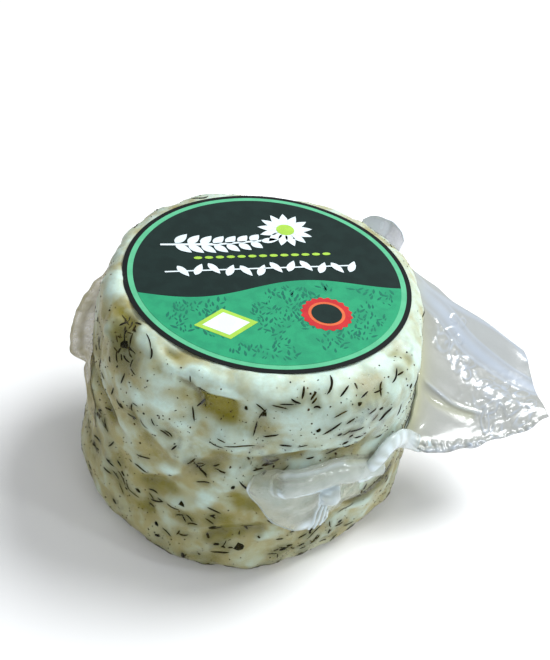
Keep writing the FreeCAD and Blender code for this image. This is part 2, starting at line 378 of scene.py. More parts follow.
def level_at(run):
    """Height up the side at each run, carried on at the same pace over the shoulder and the top."""
    return np.where(run < SIDE_START, wheel_at(run)[1], run - SIDE_START + FOOT_ROUNDING)


def run_up(level):
    """The run at a level, the other way round from level_at."""
    return run_at(level) if level < FOOT_ROUNDING else SIDE_START + level - FOOT_ROUNDING


def plain_wheel(bearing, run):
    """Points of the plain wheel and the ways that they face, from bearings and runs."""
    radius, height, out, up = wheel_at(run)
    turn = np.radians(bearing)
    points = np.stack([radius * np.cos(turn), radius * np.sin(turn), height], -1)
    ways = np.stack([out * np.cos(turn), out * np.sin(turn), up], -1)
    return points, ways


def onto(reader, points, ways, reach=9.0):
    """Moves each point along its own way onto a solid's outside."""
    found = points.copy()
    for i, (point, way) in enumerate(zip(points, ways)):
        start = Vector((point + way * reach) * MM)
        hit = reader.ray_cast(start, Vector(-way), 3 * reach * MM)[0]
        if hit is not None:
            found[i] = np.array(hit) / MM
    return found


def wheel_rows(foot_rows, foot_arc_rows, side_rows, top_arc_rows, top_rows):
    """Runs of the rows of a mesh round the wheel, closer together on its roundings."""
    return np.concatenate([
        np.linspace(2.0, FOOT_FLAT, foot_rows, endpoint=False),
        np.linspace(FOOT_FLAT, SIDE_START, foot_arc_rows, endpoint=False),
        np.linspace(SIDE_START, TOP_START, side_rows, endpoint=False),
        np.linspace(TOP_START, TOP_END, top_arc_rows, endpoint=False),
        np.linspace(TOP_END, WHOLE_RUN - 2.0, top_rows),
    ])


def gap_round(bearing, where):
    """Millimetres round the wheel from one bearing to others, the short way."""
    return np.radians((bearing - where + 180.0) % 360.0 - 180.0) * WHEEL_RADIUS


def off_centre(bearing, level, where, middle, half_width, half_height):
    """How far off the centre of an oval each point is, squared: 1 on its outline."""
    across = gap_round(bearing, where) / half_width
    rise = (level - middle) / half_height
    return across * across + rise * rise


def whey_amount(bearing, level):
    """How much whey lies under the film, 0 to 1 and over."""
    amount = np.zeros(len(bearing))
    for *oval, strength in WHEY_POOLS:
        amount += strength * np.exp(-off_centre(bearing, level, *oval))
    return amount


def lump_amount(bearing, level):
    """How far the white lumps stand up, in millimetres."""
    amount = np.zeros(len(bearing))
    for *oval, high in WHITE_LUMPS:
        amount = np.maximum(amount, high * np.exp(-off_centre(bearing, level, *oval) ** 1.2))
    return amount


def crease_amount(bearing, height):
    """How deep the film's creases press into the curd, in millimetres, and how near each point is."""
    depth = np.zeros(len(bearing))
    near = np.zeros(len(bearing))
    for line, half_width, deep in CREASES:
        closest = np.full(len(bearing), 99.0)
        for (from_bearing, from_height), (to_bearing, to_height) in zip(line, line[1:]):
            across = gap_round(bearing, from_bearing)
            rise = height - from_height
            run_across = math.radians(to_bearing - from_bearing) * WHEEL_RADIUS
            run_rise = to_height - from_height
            along = (across * run_across + rise * run_rise) / (run_across**2 + run_rise**2)
            along = np.clip(along, 0, 1)
            away = np.hypot(across - along * run_across, rise - along * run_rise)
            closest = np.minimum(closest, away)
        press = hump(closest, half_width)
        depth = np.maximum(depth, deep * press)
        near = np.maximum(near, press)
    return depth, near


def curd_relief(points, bearing, run):
    """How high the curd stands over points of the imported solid, in millimetres, and its whey there."""
    _, height, _, _ = wheel_at(run)
    lumps = 0.70 * soft_noise(points, 13.0, 1) + 0.62 * soft_noise(points, 6.5, 2)
    lumps = lumps + 0.24 * soft_noise(points, 3.0, 3)
    grain = 0.07 * soft_noise(points, 1.5, 4)
    whey = whey_amount(bearing, level_at(run))
    crease, near = crease_amount(bearing, height)
    under_label = smooth_step(run, TOP_END - 1.0, TOP_END + 3.0)
    on_foot = 1 - smooth_step(run, FOOT_FLAT - 3.0, FOOT_FLAT + 5.0)
    calm = 1 - 0.8 * np.maximum(under_label, on_foot)
    lump_size = bpy.context.scene.cheese_settings.lump_height / 0.0006
    white = lump_amount(bearing, level_at(run))
    relief = 0.2 + calm * (lump_size * lumps + grain + white - 0.85 * np.minimum(whey, 1.2) - crease)
    relief = np.where(on_foot > 0.5, np.clip(relief, -0.25, 0.2), relief)
    whey = whey + 0.5 * near * smooth_step(soft_noise(points, 9.0, 5), -0.2, 0.6)
    # The whey shows more in the dents on the left, back and low side: painted shade as well as whey.
    whey += 0.75 * smooth_step(-lumps, 0.18, 0.85) * (0.35 + 0.65 * painted_shade_share(bearing, height))
    whey = whey * (1 - 0.8 * np.clip(white / 0.9, 0, 1))
    return relief, np.clip(whey * (1 - under_label), 0, 1.3)


def painted_shade_share(bearing, height):
    """Painted shade on the curd, 0 to 1: more towards its left and back, and low down, where less light falls
    on it.
    """
    low = 1 - smooth_step(height, 8.0, 56.0)
    turned_away = 0.5 - 0.5 * np.cos(np.radians(bearing + 55.0))
    left = np.minimum(turned_away, 0.34) + 0.28 * hump(gap_round(bearing, -150.0), 26.0)
    return np.clip(0.78 * low + 1.35 * left, 0, 0.88)


def patches_and_shade_amount(points, bearing, run, relief):
    """Where the curd takes the shaded colour rather than white, 0 to 1: random patches of tone, painted shade
    on its left, back and low side and in its dents, and painted light that keeps its raised lumps white.
    """
    height = wheel_at(run)[1]
    patches = 0.30 * soft_noise(points, 9.0, 6) + 0.36 * soft_noise(points, 4.5, 7)
    patches = patches + 0.30 * soft_noise(points, 2.2, 8)
    # Painted shade: low-lying curd takes the shaded colour, and raised lumps are kept white as if lit.
    amount = 1.15 * painted_shade_share(bearing, height) - 0.04 + patches - 0.55 * (relief - 0.2)
    amount = amount - 0.7 * np.clip(lump_amount(bearing, level_at(run)) / 0.8, 0, 1)
    return smooth_step(amount, -0.5, 1.3) * (1 - smooth_step(run, TOP_END, TOP_END + 4.0))


def blurred(values, reach):
    """Spreads a (rows, rounds) grid of values over about reach cells each way."""
    rows = len(values)
    for _ in range(2):
        total = sum(np.roll(values, step, axis=1) for step in range(-reach, reach + 1))
        values = total / (2 * reach + 1)
        padded = np.pad(values, ((reach, reach), (0, 0)), mode="edge")
        values = sum(padded[step:step + rows] for step in range(2 * reach + 1)) / (2 * reach + 1)
    return values


def wheel_faces(rounds, rows, first=0, flip=False):
    """Quads of a (rows, rounds) grid round the wheel, with a middle point closing each end."""
    faces = []
    for j in range(rows - 1):
        for i in range(rounds):
            k = (i + 1) % rounds
            faces.append((first + j * rounds + i, first + j * rounds + k,
                          first + (j + 1) * rounds + k, first + (j + 1) * rounds + i))
    foot, top = first + rows * rounds, first + rows * rounds + 1
    for i in range(rounds):
        k = (i + 1) % rounds
        faces.append((foot, first + k, first + i))
        last = first + (rows - 1) * rounds
        faces.append((top, last + i, last + k))
    if flip:
        faces = [face[::-1] for face in faces]
    return faces


def with_ends(grid):
    """A (rows, rounds, 3) grid as a list of points, with the middle of the foot and of the top added."""
    return np.concatenate([grid.reshape(-1, 3), grid[0].mean(0)[None], grid[-1].mean(0)[None]])


def wheel_grid(rounds, runs):
    """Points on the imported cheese, the ways that they face, and their bearings and runs, row by row."""
    bearing, run = np.meshgrid(np.arange(rounds) * 360.0 / rounds, runs)
    bearing, run = bearing.ravel(), run.ravel()
    points, ways = plain_wheel(bearing, run)
    return onto(reader_of("cheese"), points, ways), ways, bearing, run


# ---------------------------------------------------------------- shader groups and materials


def new_group(name, inputs, outputs):
    """An empty shader node group with its sockets, and the nodes for its ins and outs."""
    group = bpy.data.node_groups.new(name, "ShaderNodeTree")
    for socket, kind, value in inputs:
        made = group.interface.new_socket(name=socket, in_out="INPUT", socket_type="NodeSocket" + kind)
        made.default_value = value
    for socket, kind in outputs:
        group.interface.new_socket(name=socket, in_out="OUTPUT", socket_type="NodeSocket" + kind)
    return group, group.nodes.new("NodeGroupInput"), group.nodes.new("NodeGroupOutput")


def noise_node(tree, place, scale, detail, rough):
    """Blender's noise texture at a place, with its scale, detail and roughness."""
    node = tree.nodes.new("ShaderNodeTexNoise")
    node.inputs["Scale"].default_value = scale
    node.inputs["Detail"].default_value = detail
    node.inputs["Roughness"].default_value = rough
    tree.links.new(place, node.inputs["Vector"])
    return node


def math_node(tree, operation, first, second, clamp=False):
    """One step of arithmetic on two numbers or sockets, kept within 0 to 1 if clamp is set."""
    node = tree.nodes.new("ShaderNodeMath")
    node.operation = operation
    node.use_clamp = clamp
    for socket, value in ((node.inputs[0], first), (node.inputs[1], second)):
        if isinstance(value, bpy.types.NodeSocket):
            tree.links.new(value, socket)
        else:
            socket.default_value = value
    return node.outputs[0]


def ramp_between(tree, value, low, high):
    """0 below low, 1 above high, and an even rise between."""
    node = tree.nodes.new("ShaderNodeMapRange")
    node.interpolation_type = "SMOOTHSTEP"
    node.inputs["From Min"].default_value = low
    node.inputs["From Max"].default_value = high
    tree.links.new(value, node.inputs["Value"])
    return node.outputs["Result"]


def mixed(tree, share, first, second):
    """A colour mix of two colours or sockets."""
    node = tree.nodes.new("ShaderNodeMix")
    node.data_type = "RGBA"
    tree.links.new(share, node.inputs["Factor"])
    for socket, value in ((node.inputs["A"], first), (node.inputs["B"], second)):
        if isinstance(value, bpy.types.NodeSocket):
            tree.links.new(value, socket)
        else:
            socket.default_value = (*value, 1.0)
    return node.outputs["Result"]


def mottle_group():
    """Uneven patches at two sizes, with a fine bump, for the curd, the herbs, the film and the label."""
    if "Mottle" in bpy.data.node_groups:
        return bpy.data.node_groups["Mottle"]
    group, inward, outward = new_group(
        "Mottle",
        (("Patch Scale", "Float", 120.0), ("Grain Scale", "Float", 900.0), ("Bump Strength", "Float", 0.2)),
        (("Patches", "Float"), ("Grain", "Float"), ("Normal", "Vector")),
    )
    place = group.nodes.new("ShaderNodeTexCoord").outputs["Object"]
    patches = noise_node(group, place, 120.0, 3.0, 0.55)
    grain = noise_node(group, place, 900.0, 2.0, 0.6)
    group.links.new(inward.outputs["Patch Scale"], patches.inputs["Scale"])
    group.links.new(inward.outputs["Grain Scale"], grain.inputs["Scale"])
    bump = group.nodes.new("ShaderNodeBump")
    bump.inputs["Distance"].default_value = 0.0002
    group.links.new(inward.outputs["Bump Strength"], bump.inputs["Strength"])
    group.links.new(grain.outputs["Fac"], bump.inputs["Height"])
    group.links.new(ramp_between(group, patches.outputs["Fac"], 0.38, 0.62), outward.inputs["Patches"])
    group.links.new(ramp_between(group, grain.outputs["Fac"], 0.35, 0.65), outward.inputs["Grain"])
    group.links.new(bump.outputs["Normal"], outward.inputs["Normal"])
    return group


def new_material(name):
    """A material with its Principled shader and node tree."""
    material = bpy.data.materials.new(name)
    material.use_nodes = True
    return material, material.node_tree, material.node_tree.nodes["Principled BSDF"]


def add_mottle(tree, patch_scale, grain_scale, bump_strength):
    """The shared mottle group, placed in a material with its own values."""
    node = tree.nodes.new("ShaderNodeGroup")
    node.node_tree = mottle_group()
    node.inputs["Patch Scale"].default_value = patch_scale
    node.inputs["Grain Scale"].default_value = grain_scale
    node.inputs["Bump Strength"].default_value = bump_strength
    return node


def stored(tree, name):
    """A number stored on the mesh's points."""
    node = tree.nodes.new("ShaderNodeAttribute")
    node.attribute_name = name
    return node.outputs["Fac"]


def curd_material():
    """Moist white curd, with patches of darker tone, painted shade in its dents and on its left, back and low
    side, and yellow-green where whey has gathered.
    """
    sizes = bpy.context.scene.cheese_settings
    material, tree, shader = new_material("moist curd")
    mottle = add_mottle(tree, 160.0, 1400.0, 0.25)
    patches = math_node(tree, "MULTIPLY", math_node(tree, "SUBTRACT", mottle.outputs["Patches"], 0.5), 0.35)
    share = math_node(tree, "ADD", stored(tree, "patches_and_shade"), patches, clamp=True)
    colour = mixed(tree, share, sizes.curd_colour, sizes.shade_colour)
    whey = math_node(tree, "ADD", stored(tree, "whey"), math_node(tree, "MULTIPLY", patches, 0.6))
    colour = mixed(tree, ramp_between(tree, whey, 0.08, 1.1), colour, sizes.whey_colour)
    stain = math_node(tree, "MULTIPLY", stored(tree, "stain"), 0.75)
    colour = mixed(tree, stain, colour, sizes.stain_colour)
    grains = math_node(tree, "MULTIPLY", mottle.outputs["Grain"], 0.10)
    colour = mixed(tree, grains, colour, sizes.shade_colour)
    tree.links.new(colour, shader.inputs["Base Color"])
    rough = tree.nodes.new("ShaderNodeMapRange")
    rough.inputs["To Min"].default_value = 0.55
    rough.inputs["To Max"].default_value = 0.3
    tree.links.new(whey, rough.inputs["Value"])
    tree.links.new(rough.outputs["Result"], shader.inputs["Roughness"])
    shader.inputs["Subsurface Weight"].default_value = 0.25
    shader.inputs["Subsurface Radius"].default_value = (1.0, 0.8, 0.5)
    shader.inputs["Subsurface Scale"].default_value = 0.0012
    shader.inputs["Specular IOR Level"].default_value = 0.2
    pooled = math_node(tree, "MULTIPLY", stored(tree, "whey"), 0.14)
    coat = math_node(tree, "SUBTRACT", 0.14, pooled, clamp=True)
    tree.links.new(coat, shader.inputs["Coat Weight"])
    shader.inputs["Coat Roughness"].default_value = 0.3
    tree.links.new(mottle.outputs["Normal"], shader.inputs["Normal"])
    return material


def herb_material(name, dark, light, rough):
    """Dried leaf and stalk, from near black to its lighter tone."""
    material, tree, shader = new_material(name)
    mottle = add_mottle(tree, 900.0, 3000.0, 0.4)
    patches = math_node(tree, "ADD", mottle.outputs["Patches"], 0.4)
    share = math_node(tree, "MULTIPLY", stored(tree, "tone"), patches, clamp=True)
    tree.links.new(mixed(tree, share, dark, light), shader.inputs["Base Color"])
    shader.inputs["Roughness"].default_value = rough
    shader.inputs["Specular IOR Level"].default_value = 0.05
    tree.links.new(mottle.outputs["Normal"], shader.inputs["Normal"])
    return material


def film_material(name, alphas, tints, haze, edge_share, rough):
    """Glossy film, clear to milky: its alpha rises with the stored fold-and-glint value and at grazing angles,
    and that value also tints it towards its fold tint, painted glints where that tint is pale.
    """
    colour, folds, cream = tints
    material, tree, shader = new_material(name)
    mottle = add_mottle(tree, 220.0, 1200.0, 0.15)
    fold = stored(tree, "fold")
    edge = tree.nodes.new("ShaderNodeLayerWeight")
    edge.inputs["Blend"].default_value = 0.35
    share = math_node(tree, "ADD", fold, math_node(tree, "MULTIPLY", mottle.outputs["Patches"], haze))
    grazing = math_node(tree, "MULTIPLY", edge.outputs["Facing"], edge_share)
    share = math_node(tree, "ADD", share, grazing, clamp=True)
    alpha = tree.nodes.new("ShaderNodeMapRange")
    alpha.inputs["To Min"].default_value, alpha.inputs["To Max"].default_value = alphas
    tree.links.new(share, alpha.inputs["Value"])
    tree.links.new(alpha.outputs["Result"], shader.inputs["Alpha"])
    tint = mixed(tree, ramp_between(tree, fold, 0.15, 0.9), colour, folds)
    tree.links.new(mixed(tree, stored(tree, "cream"), tint, cream), shader.inputs["Base Color"])
    shader.inputs["Roughness"].default_value = rough
    shader.inputs["IOR"].default_value = 1.5
    shader.inputs["Coat Weight"].default_value = 0.6
    shader.inputs["Coat Roughness"].default_value = 0.09
    tree.links.new(mottle.outputs["Normal"], shader.inputs["Normal"])
    return material


def ink_material(name, colour, second=None):
    """Satin label print, a little uneven, with a second tone in its patches."""
    material, tree, shader = new_material(name)
    mottle = add_mottle(tree, 260.0, 2500.0, 0.12)
    second = second or tuple(c * 0.8 for c in colour)
    patches = math_node(tree, "MULTIPLY", mottle.outputs["Patches"], 0.6)
    tree.links.new(mixed(tree, patches, colour, second), shader.inputs["Base Color"])
    shader.inputs["Roughness"].default_value = 0.32
    shader.inputs["Specular IOR Level"].default_value = 0.25
    tree.links.new(mottle.outputs["Normal"], shader.inputs["Normal"])
    return material


# ---------------------------------------------------------------- forms of the film's free parts

# All in millimetres and degrees.
SKIN_THICK = 0.09
FLAT_FOOT = 0.4             # below this height the skin only clings, and bridges nothing
SKIN_REST = 0.15            # how far outside the curd the free parts start
TAIL_LONG = 47.0            # the tail's sheet, from inside the wheel to the end seam
TAIL_WIDE = 42.0
TAIL_ROOT = 37.0            # where the tail's two sides would start, out from the middle line
TAIL_THICK = 0.5
FIN_FOOT = 43.2             # where the fin would start, out from the middle line
FIN_DEEP = 5.2
EAR_BEARING = 46.0
EAR_LEAN = 35.0
EAR_HALF_WIDE = 8.2
EAR_HIGH = 11.4
RIBBON_STATIONS = 90
RIBBON_SIDES = 28
RIBBON_HALF_WIDE = 3.1
RIBBON_HALF_THICK = 1.5


def curd_surface():
    """The curd as a grid of rows by rounds, the runs of its rows, its whey, and its patches and painted shade.
    """
    runs = wheel_rows(30, 22, 88, 18, 28)
    points, ways, bearing, run = wheel_grid(CURD_ROUNDS, runs)
    relief, whey = curd_relief(points, bearing, run)
    grid = (points + ways * relief[:, None]).reshape(len(runs), CURD_ROUNDS, 3)
    return grid, runs, whey, patches_and_shade_amount(points, bearing, run, relief)


def lie_on(surface, bearing, run, lift=0.0):
    """Points on the curd's grid at bearings and runs, lifted off it, and the ways that they face."""
    grid, runs = surface[0], surface[1]
    bearing, run = np.broadcast_arrays(np.asarray(bearing, float), np.asarray(run, float))
    row = np.interp(run, runs, np.arange(len(runs)))
    column = np.mod(bearing, 360.0) / 360.0 * grid.shape[1]
    low_row = np.clip(np.floor(row).astype(int), 0, len(runs) - 2)
    low_column = np.floor(column).astype(int) % grid.shape[1]
    next_column = (low_column + 1) % grid.shape[1]
    a, b = (row - low_row)[..., None], (column - np.floor(column))[..., None]
    points = (grid[low_row, low_column] * (1 - a) * (1 - b) + grid[low_row, next_column] * (1 - a) * b
              + grid[low_row + 1, low_column] * a * (1 - b) + grid[low_row + 1, next_column] * a * b)
    _, ways = plain_wheel(bearing, run)
    return points + ways * lift, ways


def curd_out(surface, bearing, height):
    """How far the curd stands out from the middle line, at bearings and heights."""
    runs = np.linspace(FOOT_FLAT, TOP_END, 400)
    run = np.interp(height, wheel_at(runs)[1], runs)
    points, _ = lie_on(surface, bearing, run)
    return np.hypot(points[..., 0], points[..., 1])


def skin_share(surface, points):
    """How far along its rows, 0 to 1, each column of a grid leaves the curd, to start on the skin."""
    bearing = np.degrees(np.arctan2(points[..., 1], points[..., 0]))
    clear = np.hypot(points[..., 0], points[..., 1]) - curd_out(surface, bearing, points[..., 2])
    clear = clear - SKIN_REST
    clear = np.where(points[..., 2] > WHEEL_HEIGHT, 1.0, clear)
    rows = len(clear)
    last_in = np.where((clear < 0).any(0), rows - 1 - np.argmax(clear[::-1] < 0, axis=0), 0)
    last_in = np.minimum(last_in, rows - 2)
    column = np.arange(clear.shape[1])
    here, there = clear[last_in, column], clear[last_in + 1, column]
    part = np.clip(-here / np.maximum(there - here, 1e-6), 0, 1)
    return (last_in + part) / (rows - 1)


def grid_ways(grid):
    """The way that each point of a (rows, columns, 3) grid faces."""
    across = np.gradient(grid, axis=0)
    along = np.gradient(grid, axis=1)
    return unit(np.cross(across, along))


def finished(piece, values, shape, spread):
    """A sheet with its values stored on both sides, in the order that spread gives them, facing out."""
    for key, value in values.items():
        flat = spread(np.broadcast_to(value, shape))
        point_values(piece, key, np.concatenate([flat, flat]))
    face_out(piece)
    return piece


def film_sheet(name, middle, thickness, material, lift, **values):
    """A closed sheet of film round a grid of middle points, with a thickness and values at each."""
    rows, columns, _ = middle.shape
    ways = grid_ways(middle)
    half = thickness[..., None] / 2
    raised = middle + ways * np.broadcast_to(lift, (rows, columns))[..., None]
    upper, lower = raised + ways * half, raised - ways * half
    count = rows * columns
    faces = []
    for i in range(rows - 1):
        for j in range(columns - 1):
            a, b = i * columns + j, (i + 1) * columns + j
            faces.append((a, b, b + 1, a + 1))
            faces.append((count + a, count + a + 1, count + b + 1, count + b))
    rim = list(range(columns - 1))
    rim += [i * columns + columns - 1 for i in range(rows - 1)]
    rim += [(rows - 1) * columns + j for j in range(columns - 1, 0, -1)]
    rim += [i * columns for i in range(rows - 1, 0, -1)]
    for a, b in zip(rim, rim[1:] + rim[:1]):
        faces.append((a, b, count + b, count + a))
    points = np.concatenate([upper.reshape(-1, 3), lower.reshape(-1, 3)])
    piece = finished(mesh_piece(name, points, faces, material), values, (rows, columns), np.ravel)
    return belongs(piece, "film", "film_bag")


def smooth_line(points, count, closed=False):
    """A Catmull-Rom line through points, at evenly spread steps."""
    points = np.asarray(points, float)
    if closed:
        padded = np.concatenate([points[-1:], points, points[:2]])
        spans = len(points)
    else:
        padded = np.concatenate([2 * points[:1] - points[1:2], points, 2 * points[-1:] - points[-2:-1]])
        spans = len(points) - 1
    t = np.linspace(0, spans, count, endpoint=not closed)
    span = np.minimum(t.astype(int), spans - 1)
    t = (t - span)[:, None]
    p0, p1, p2, p3 = padded[span], padded[span + 1], padded[span + 2], padded[span + 3]
    return 0.5 * (2 * p1 + (p2 - p0) * t + (2 * p0 - 5 * p1 + 4 * p2 - p3) * t**2
                  + (3 * p1 - 3 * p2 + p3 - p0) * t**3)


def near_line(points, line):
    """How far each 2-D point is from a line of 2-D points, and how far along the line, 0 to 1."""
    line = np.asarray(line, float)
    lengths = np.linalg.norm(np.diff(line, axis=0), axis=1)
    starts = np.concatenate([[0], np.cumsum(lengths)])
    closest = np.full(points.shape[:-1], 1e9)
    along = np.zeros(points.shape[:-1])
    for k in range(len(line) - 1):
        step = line[k + 1] - line[k]
        t = np.clip(((points - line[k]) @ step) / (step @ step), 0, 1)
        away = np.linalg.norm(points - line[k] - t[..., None] * step, axis=-1)
        better = away < closest
        closest = np.where(better, away, closest)
        along = np.where(better, (starts[k] + t * lengths[k]) / starts[-1], along)
    return closest, along


def tail_middle(out, far):
    """The tail's middle surface: out is 0 inside the wheel and 1 at the end seam, far 0 on the near edge."""
    near_root = round_point(TAIL_ROOT, -17, 32.0)
    far_root = round_point(TAIL_ROOT, 42, 65.5)
    end_x = 1000 * BAG_HIGH.x
    near_end = np.array([end_x, 2.0, 32.0])
    far_end = np.array([end_x - 9.0, 28.0, 40.0])
    out, far = np.broadcast_arrays(np.asarray(out, float), np.asarray(far, float))
    bow = np.sin(np.pi * np.clip(out, 0, 1) ** 0.75)[..., None]
    near_side = near_root + (near_end - near_root) * out[..., None] + np.array([0, -6.5, -2.5]) * bow
    far_side = far_root + (far_end - far_root) * out[..., None] + np.array([0, -1.5, 0]) * bow
    points = near_side + (far_side - near_side) * far[..., None]
    points[..., 2] += np.sin(2 * math.pi * points[..., 1] / 17.0) * 1.1 * out
    return points


# Blisters between the tail's two plies: (out, far, radius, second radius, turn in degrees).
BLISTERS = (
    (0.44, 0.69, 1.9, 2.9, 60), (0.51, 0.64, 1.5, 3.6, 75), (0.545, 0.575, 1.6, 3.4, 55),
    (0.60, 0.60, 1.6, 1.9, 20), (0.57, 0.50, 1.3, 2.2, 70), (0.66, 0.435, 1.2, 2.6, 30),
    (0.735, 0.37, 2.6, 3.4, 20), (0.775, 0.30, 1.8, 2.4, 60), (0.69, 0.25, 1.5, 2.0, 40),
    (0.645, 0.165, 1.1, 3.2, 85), (0.70, 0.08, 1.5, 2.4, 60), (0.82, 0.22, 1.8, 2.6, 45),
    (0.86, 0.11, 1.6, 2.6, 30), (0.90, 0.35, 1.6, 2.6, 10), (0.93, 0.22, 1.4, 2.2, 80),
    (0.53, 0.87, 0.9, 1.4, 40), (0.585, 0.87, 0.8, 1.6, 60), (0.50, 0.78, 0.9, 1.5, 30),
    (0.55, 0.74, 0.8, 1.2, 80), (0.80, 0.42, 1.0, 1.8, 50),
)
# Welded bands and creases of the tail, as (out, far) lines.
SEAM_BAND = ((0.20, 1.0), (0.35, 0.93), (0.47, 0.87), (0.60, 0.74), (0.73, 0.65), (0.89, 0.52), (1.0, 0.42))
FAR_RIDGE = ((0.17, 0.985), (0.37, 0.985), (0.55, 0.965), (0.71, 0.96), (0.86, 0.94), (0.95, 0.84),
             (1.0, 0.70))
LOW_CREASE = ((0.27, 0.43), (0.31, 0.39), (0.39, 0.345), (0.47, 0.29), (0.60, 0.235), (0.68, 0.20))
WEB_CREASE = ((0.26, 0.36), (0.33, 0.31), (0.42, 0.275), (0.56, 0.225))
CRUMPLED_LINE = ((0.42, 0.72), (0.58, 0.52), (0.72, 0.36), (0.9, 0.2))


def tail_grid(start=0.0):
    """The tail's middle points, and out and far of each, from that share of the way out."""
    share, far = np.meshgrid(np.linspace(0.0, 1.0, 190), np.linspace(0.0, 1.0, 150), indexing="ij")
    out = 0.10 + 0.90 * (start + (1 - start) * share)
    near_edge = 0.006 * np.sin(out * 41) + 0.014 * np.sin(out * 19 + 1.0) * smooth_step(out, 0.3, 0.6)
    near_edge = near_edge - 0.026 * hump(out - 0.35, 0.09) + 0.03 * smooth_step(out, 0.55, 0.9)
    far_edge = 1.0 + 0.05 * smooth_step(out, 0.1, 0.25) * (1 - smooth_step(out, 0.42, 0.55))
    corner = smooth_step(out, 0.84, 1.0)
    far_edge = far_edge - 0.16 * corner**2
    far = near_edge + (far_edge - near_edge) * far
    return tail_middle(out, far), out, far


def make_tail(film, surface):
    """The pouch's sealed end: two plies with a welded band, blisters of air, and a rolled near lip."""
    middle, out, far = tail_grid(skin_share(surface, tail_grid()[0]))
    size = np.array([TAIL_LONG, TAIL_WIDE])
    flat = np.stack([out, far], -1) * size
    across, up = flat[..., 0], flat[..., 1]

    def near(line):
        """How far each point is from a line of the tail, and how far along the line."""
        return near_line(flat, smooth_line(np.array(line) * size, 24))

    lift = 0.35 * flat_noise(across, up, 9.0, 20) * smooth_step(out, 0.25, 0.5)
    swell = np.full(out.shape, TAIL_THICK)

    away = near(SEAM_BAND)[0]
    band, band_edge = hump(away, 3.4), hump(away - 3.2, 0.7)
    lift += 0.35 * band + 0.10 * band_edge
    ridge = hump(near(FAR_RIDGE)[0], 2.0)
    lift += 0.3 * ridge
    band_outs, band_fars = zip(*SEAM_BAND)
    beyond_band = smooth_step(up - np.interp(out, band_outs, np.array(band_fars) * TAIL_WIDE), 0, 3)
    away, along = near(LOW_CREASE)
    crease = hump(away, 0.7) * smooth_step(along, 0.0, 0.15) * (1 - smooth_step(along, 0.8, 1.0))
    lift += 0.45 * crease
    web = hump(near(WEB_CREASE)[0], 1.6)
    lift -= 0.35 * web
    # Fold_and_glint marks milky folds with painted glints: on the band, the ridge and the crease, and further
    # down on the blister rims, the crumples and the lip.
    fold = 0.7 * band + 0.3 * band_edge
    for mark in (0.6 * ridge, 0.35 * beyond_band, 0.6 * crease):
        fold = np.maximum(fold, mark)

    ripple = flat_noise(across, up, 2.2, 21)
    for where_out, where_far, radius, second, turn in BLISTERS:
        off = flat - np.array([where_out, where_far]) * size
        cos, sin = math.cos(math.radians(turn)), math.sin(math.radians(turn))
        a = (off[..., 0] * cos + off[..., 1] * sin) / second
        b = (-off[..., 0] * sin + off[..., 1] * cos) / radius
        reach = np.hypot(a, b) * (1 + 0.30 * ripple)
        dome = np.clip(1 - reach**2, 0, 1)
        rim = hump(reach - 1.0, 0.28)
        swell += 0.5 * dome * min(radius, 1.8)
        lift += 0.16 * rim
        fold = np.maximum(fold, 0.85 * rim * (0.6 + 0.4 * ripple) + 0.2 * dome)
    crowd = np.exp(-((across - 33.0) / 9.0) ** 2 - ((up - 14.0) / 12.0) ** 2)
    crowd = np.maximum(crowd, hump(near(CRUMPLED_LINE)[0], 4.0))
    fine = flat_noise(across, up, 1.7, 22)
    lift += 0.12 * crowd * fine
    fold = np.maximum(fold, 0.3 * crowd + 0.3 * crowd * smooth_step(fine, 0.1, 0.6))

    lip = hump(far, 0.045) * smooth_step(out, 0.08, 0.2)
    crumple = flat_noise(across, up, 1.5, 24)
    lift += lip * (0.7 + 0.45 * crumple)
    swell += lip * np.clip(0.9 + 1.1 * crumple, 0.1, 2.2)
    fold = np.maximum(fold, lip * np.clip(0.45 + 0.5 * crumple, 0.1, 0.9))

    beyond = np.hypot(middle[..., 0], middle[..., 1]) - 44.6
    parting = np.exp(-np.clip(beyond, 0, None) / 2.4) * smooth_step(far, 0.02, 0.2)
    swell += 4.0 * parting * (1 - 0.5 * smooth_step(far, 0.75, 1.0))
    cream = np.maximum(np.exp(-np.clip(beyond - 0.5, 0, None) / 2.5), 0.6 * web)
    return film_sheet("film_tail", middle, swell, film, lift, fold=np.clip(fold, 0, 1), cream=cream)


# The fin's path round the wheel, as (bearing, height).
FIN_PATH = ((130, 51.4), (152, 50.2), (175, 48.6), (192, 47.2), (200, 44.8), (206, 39.5), (209, 31))


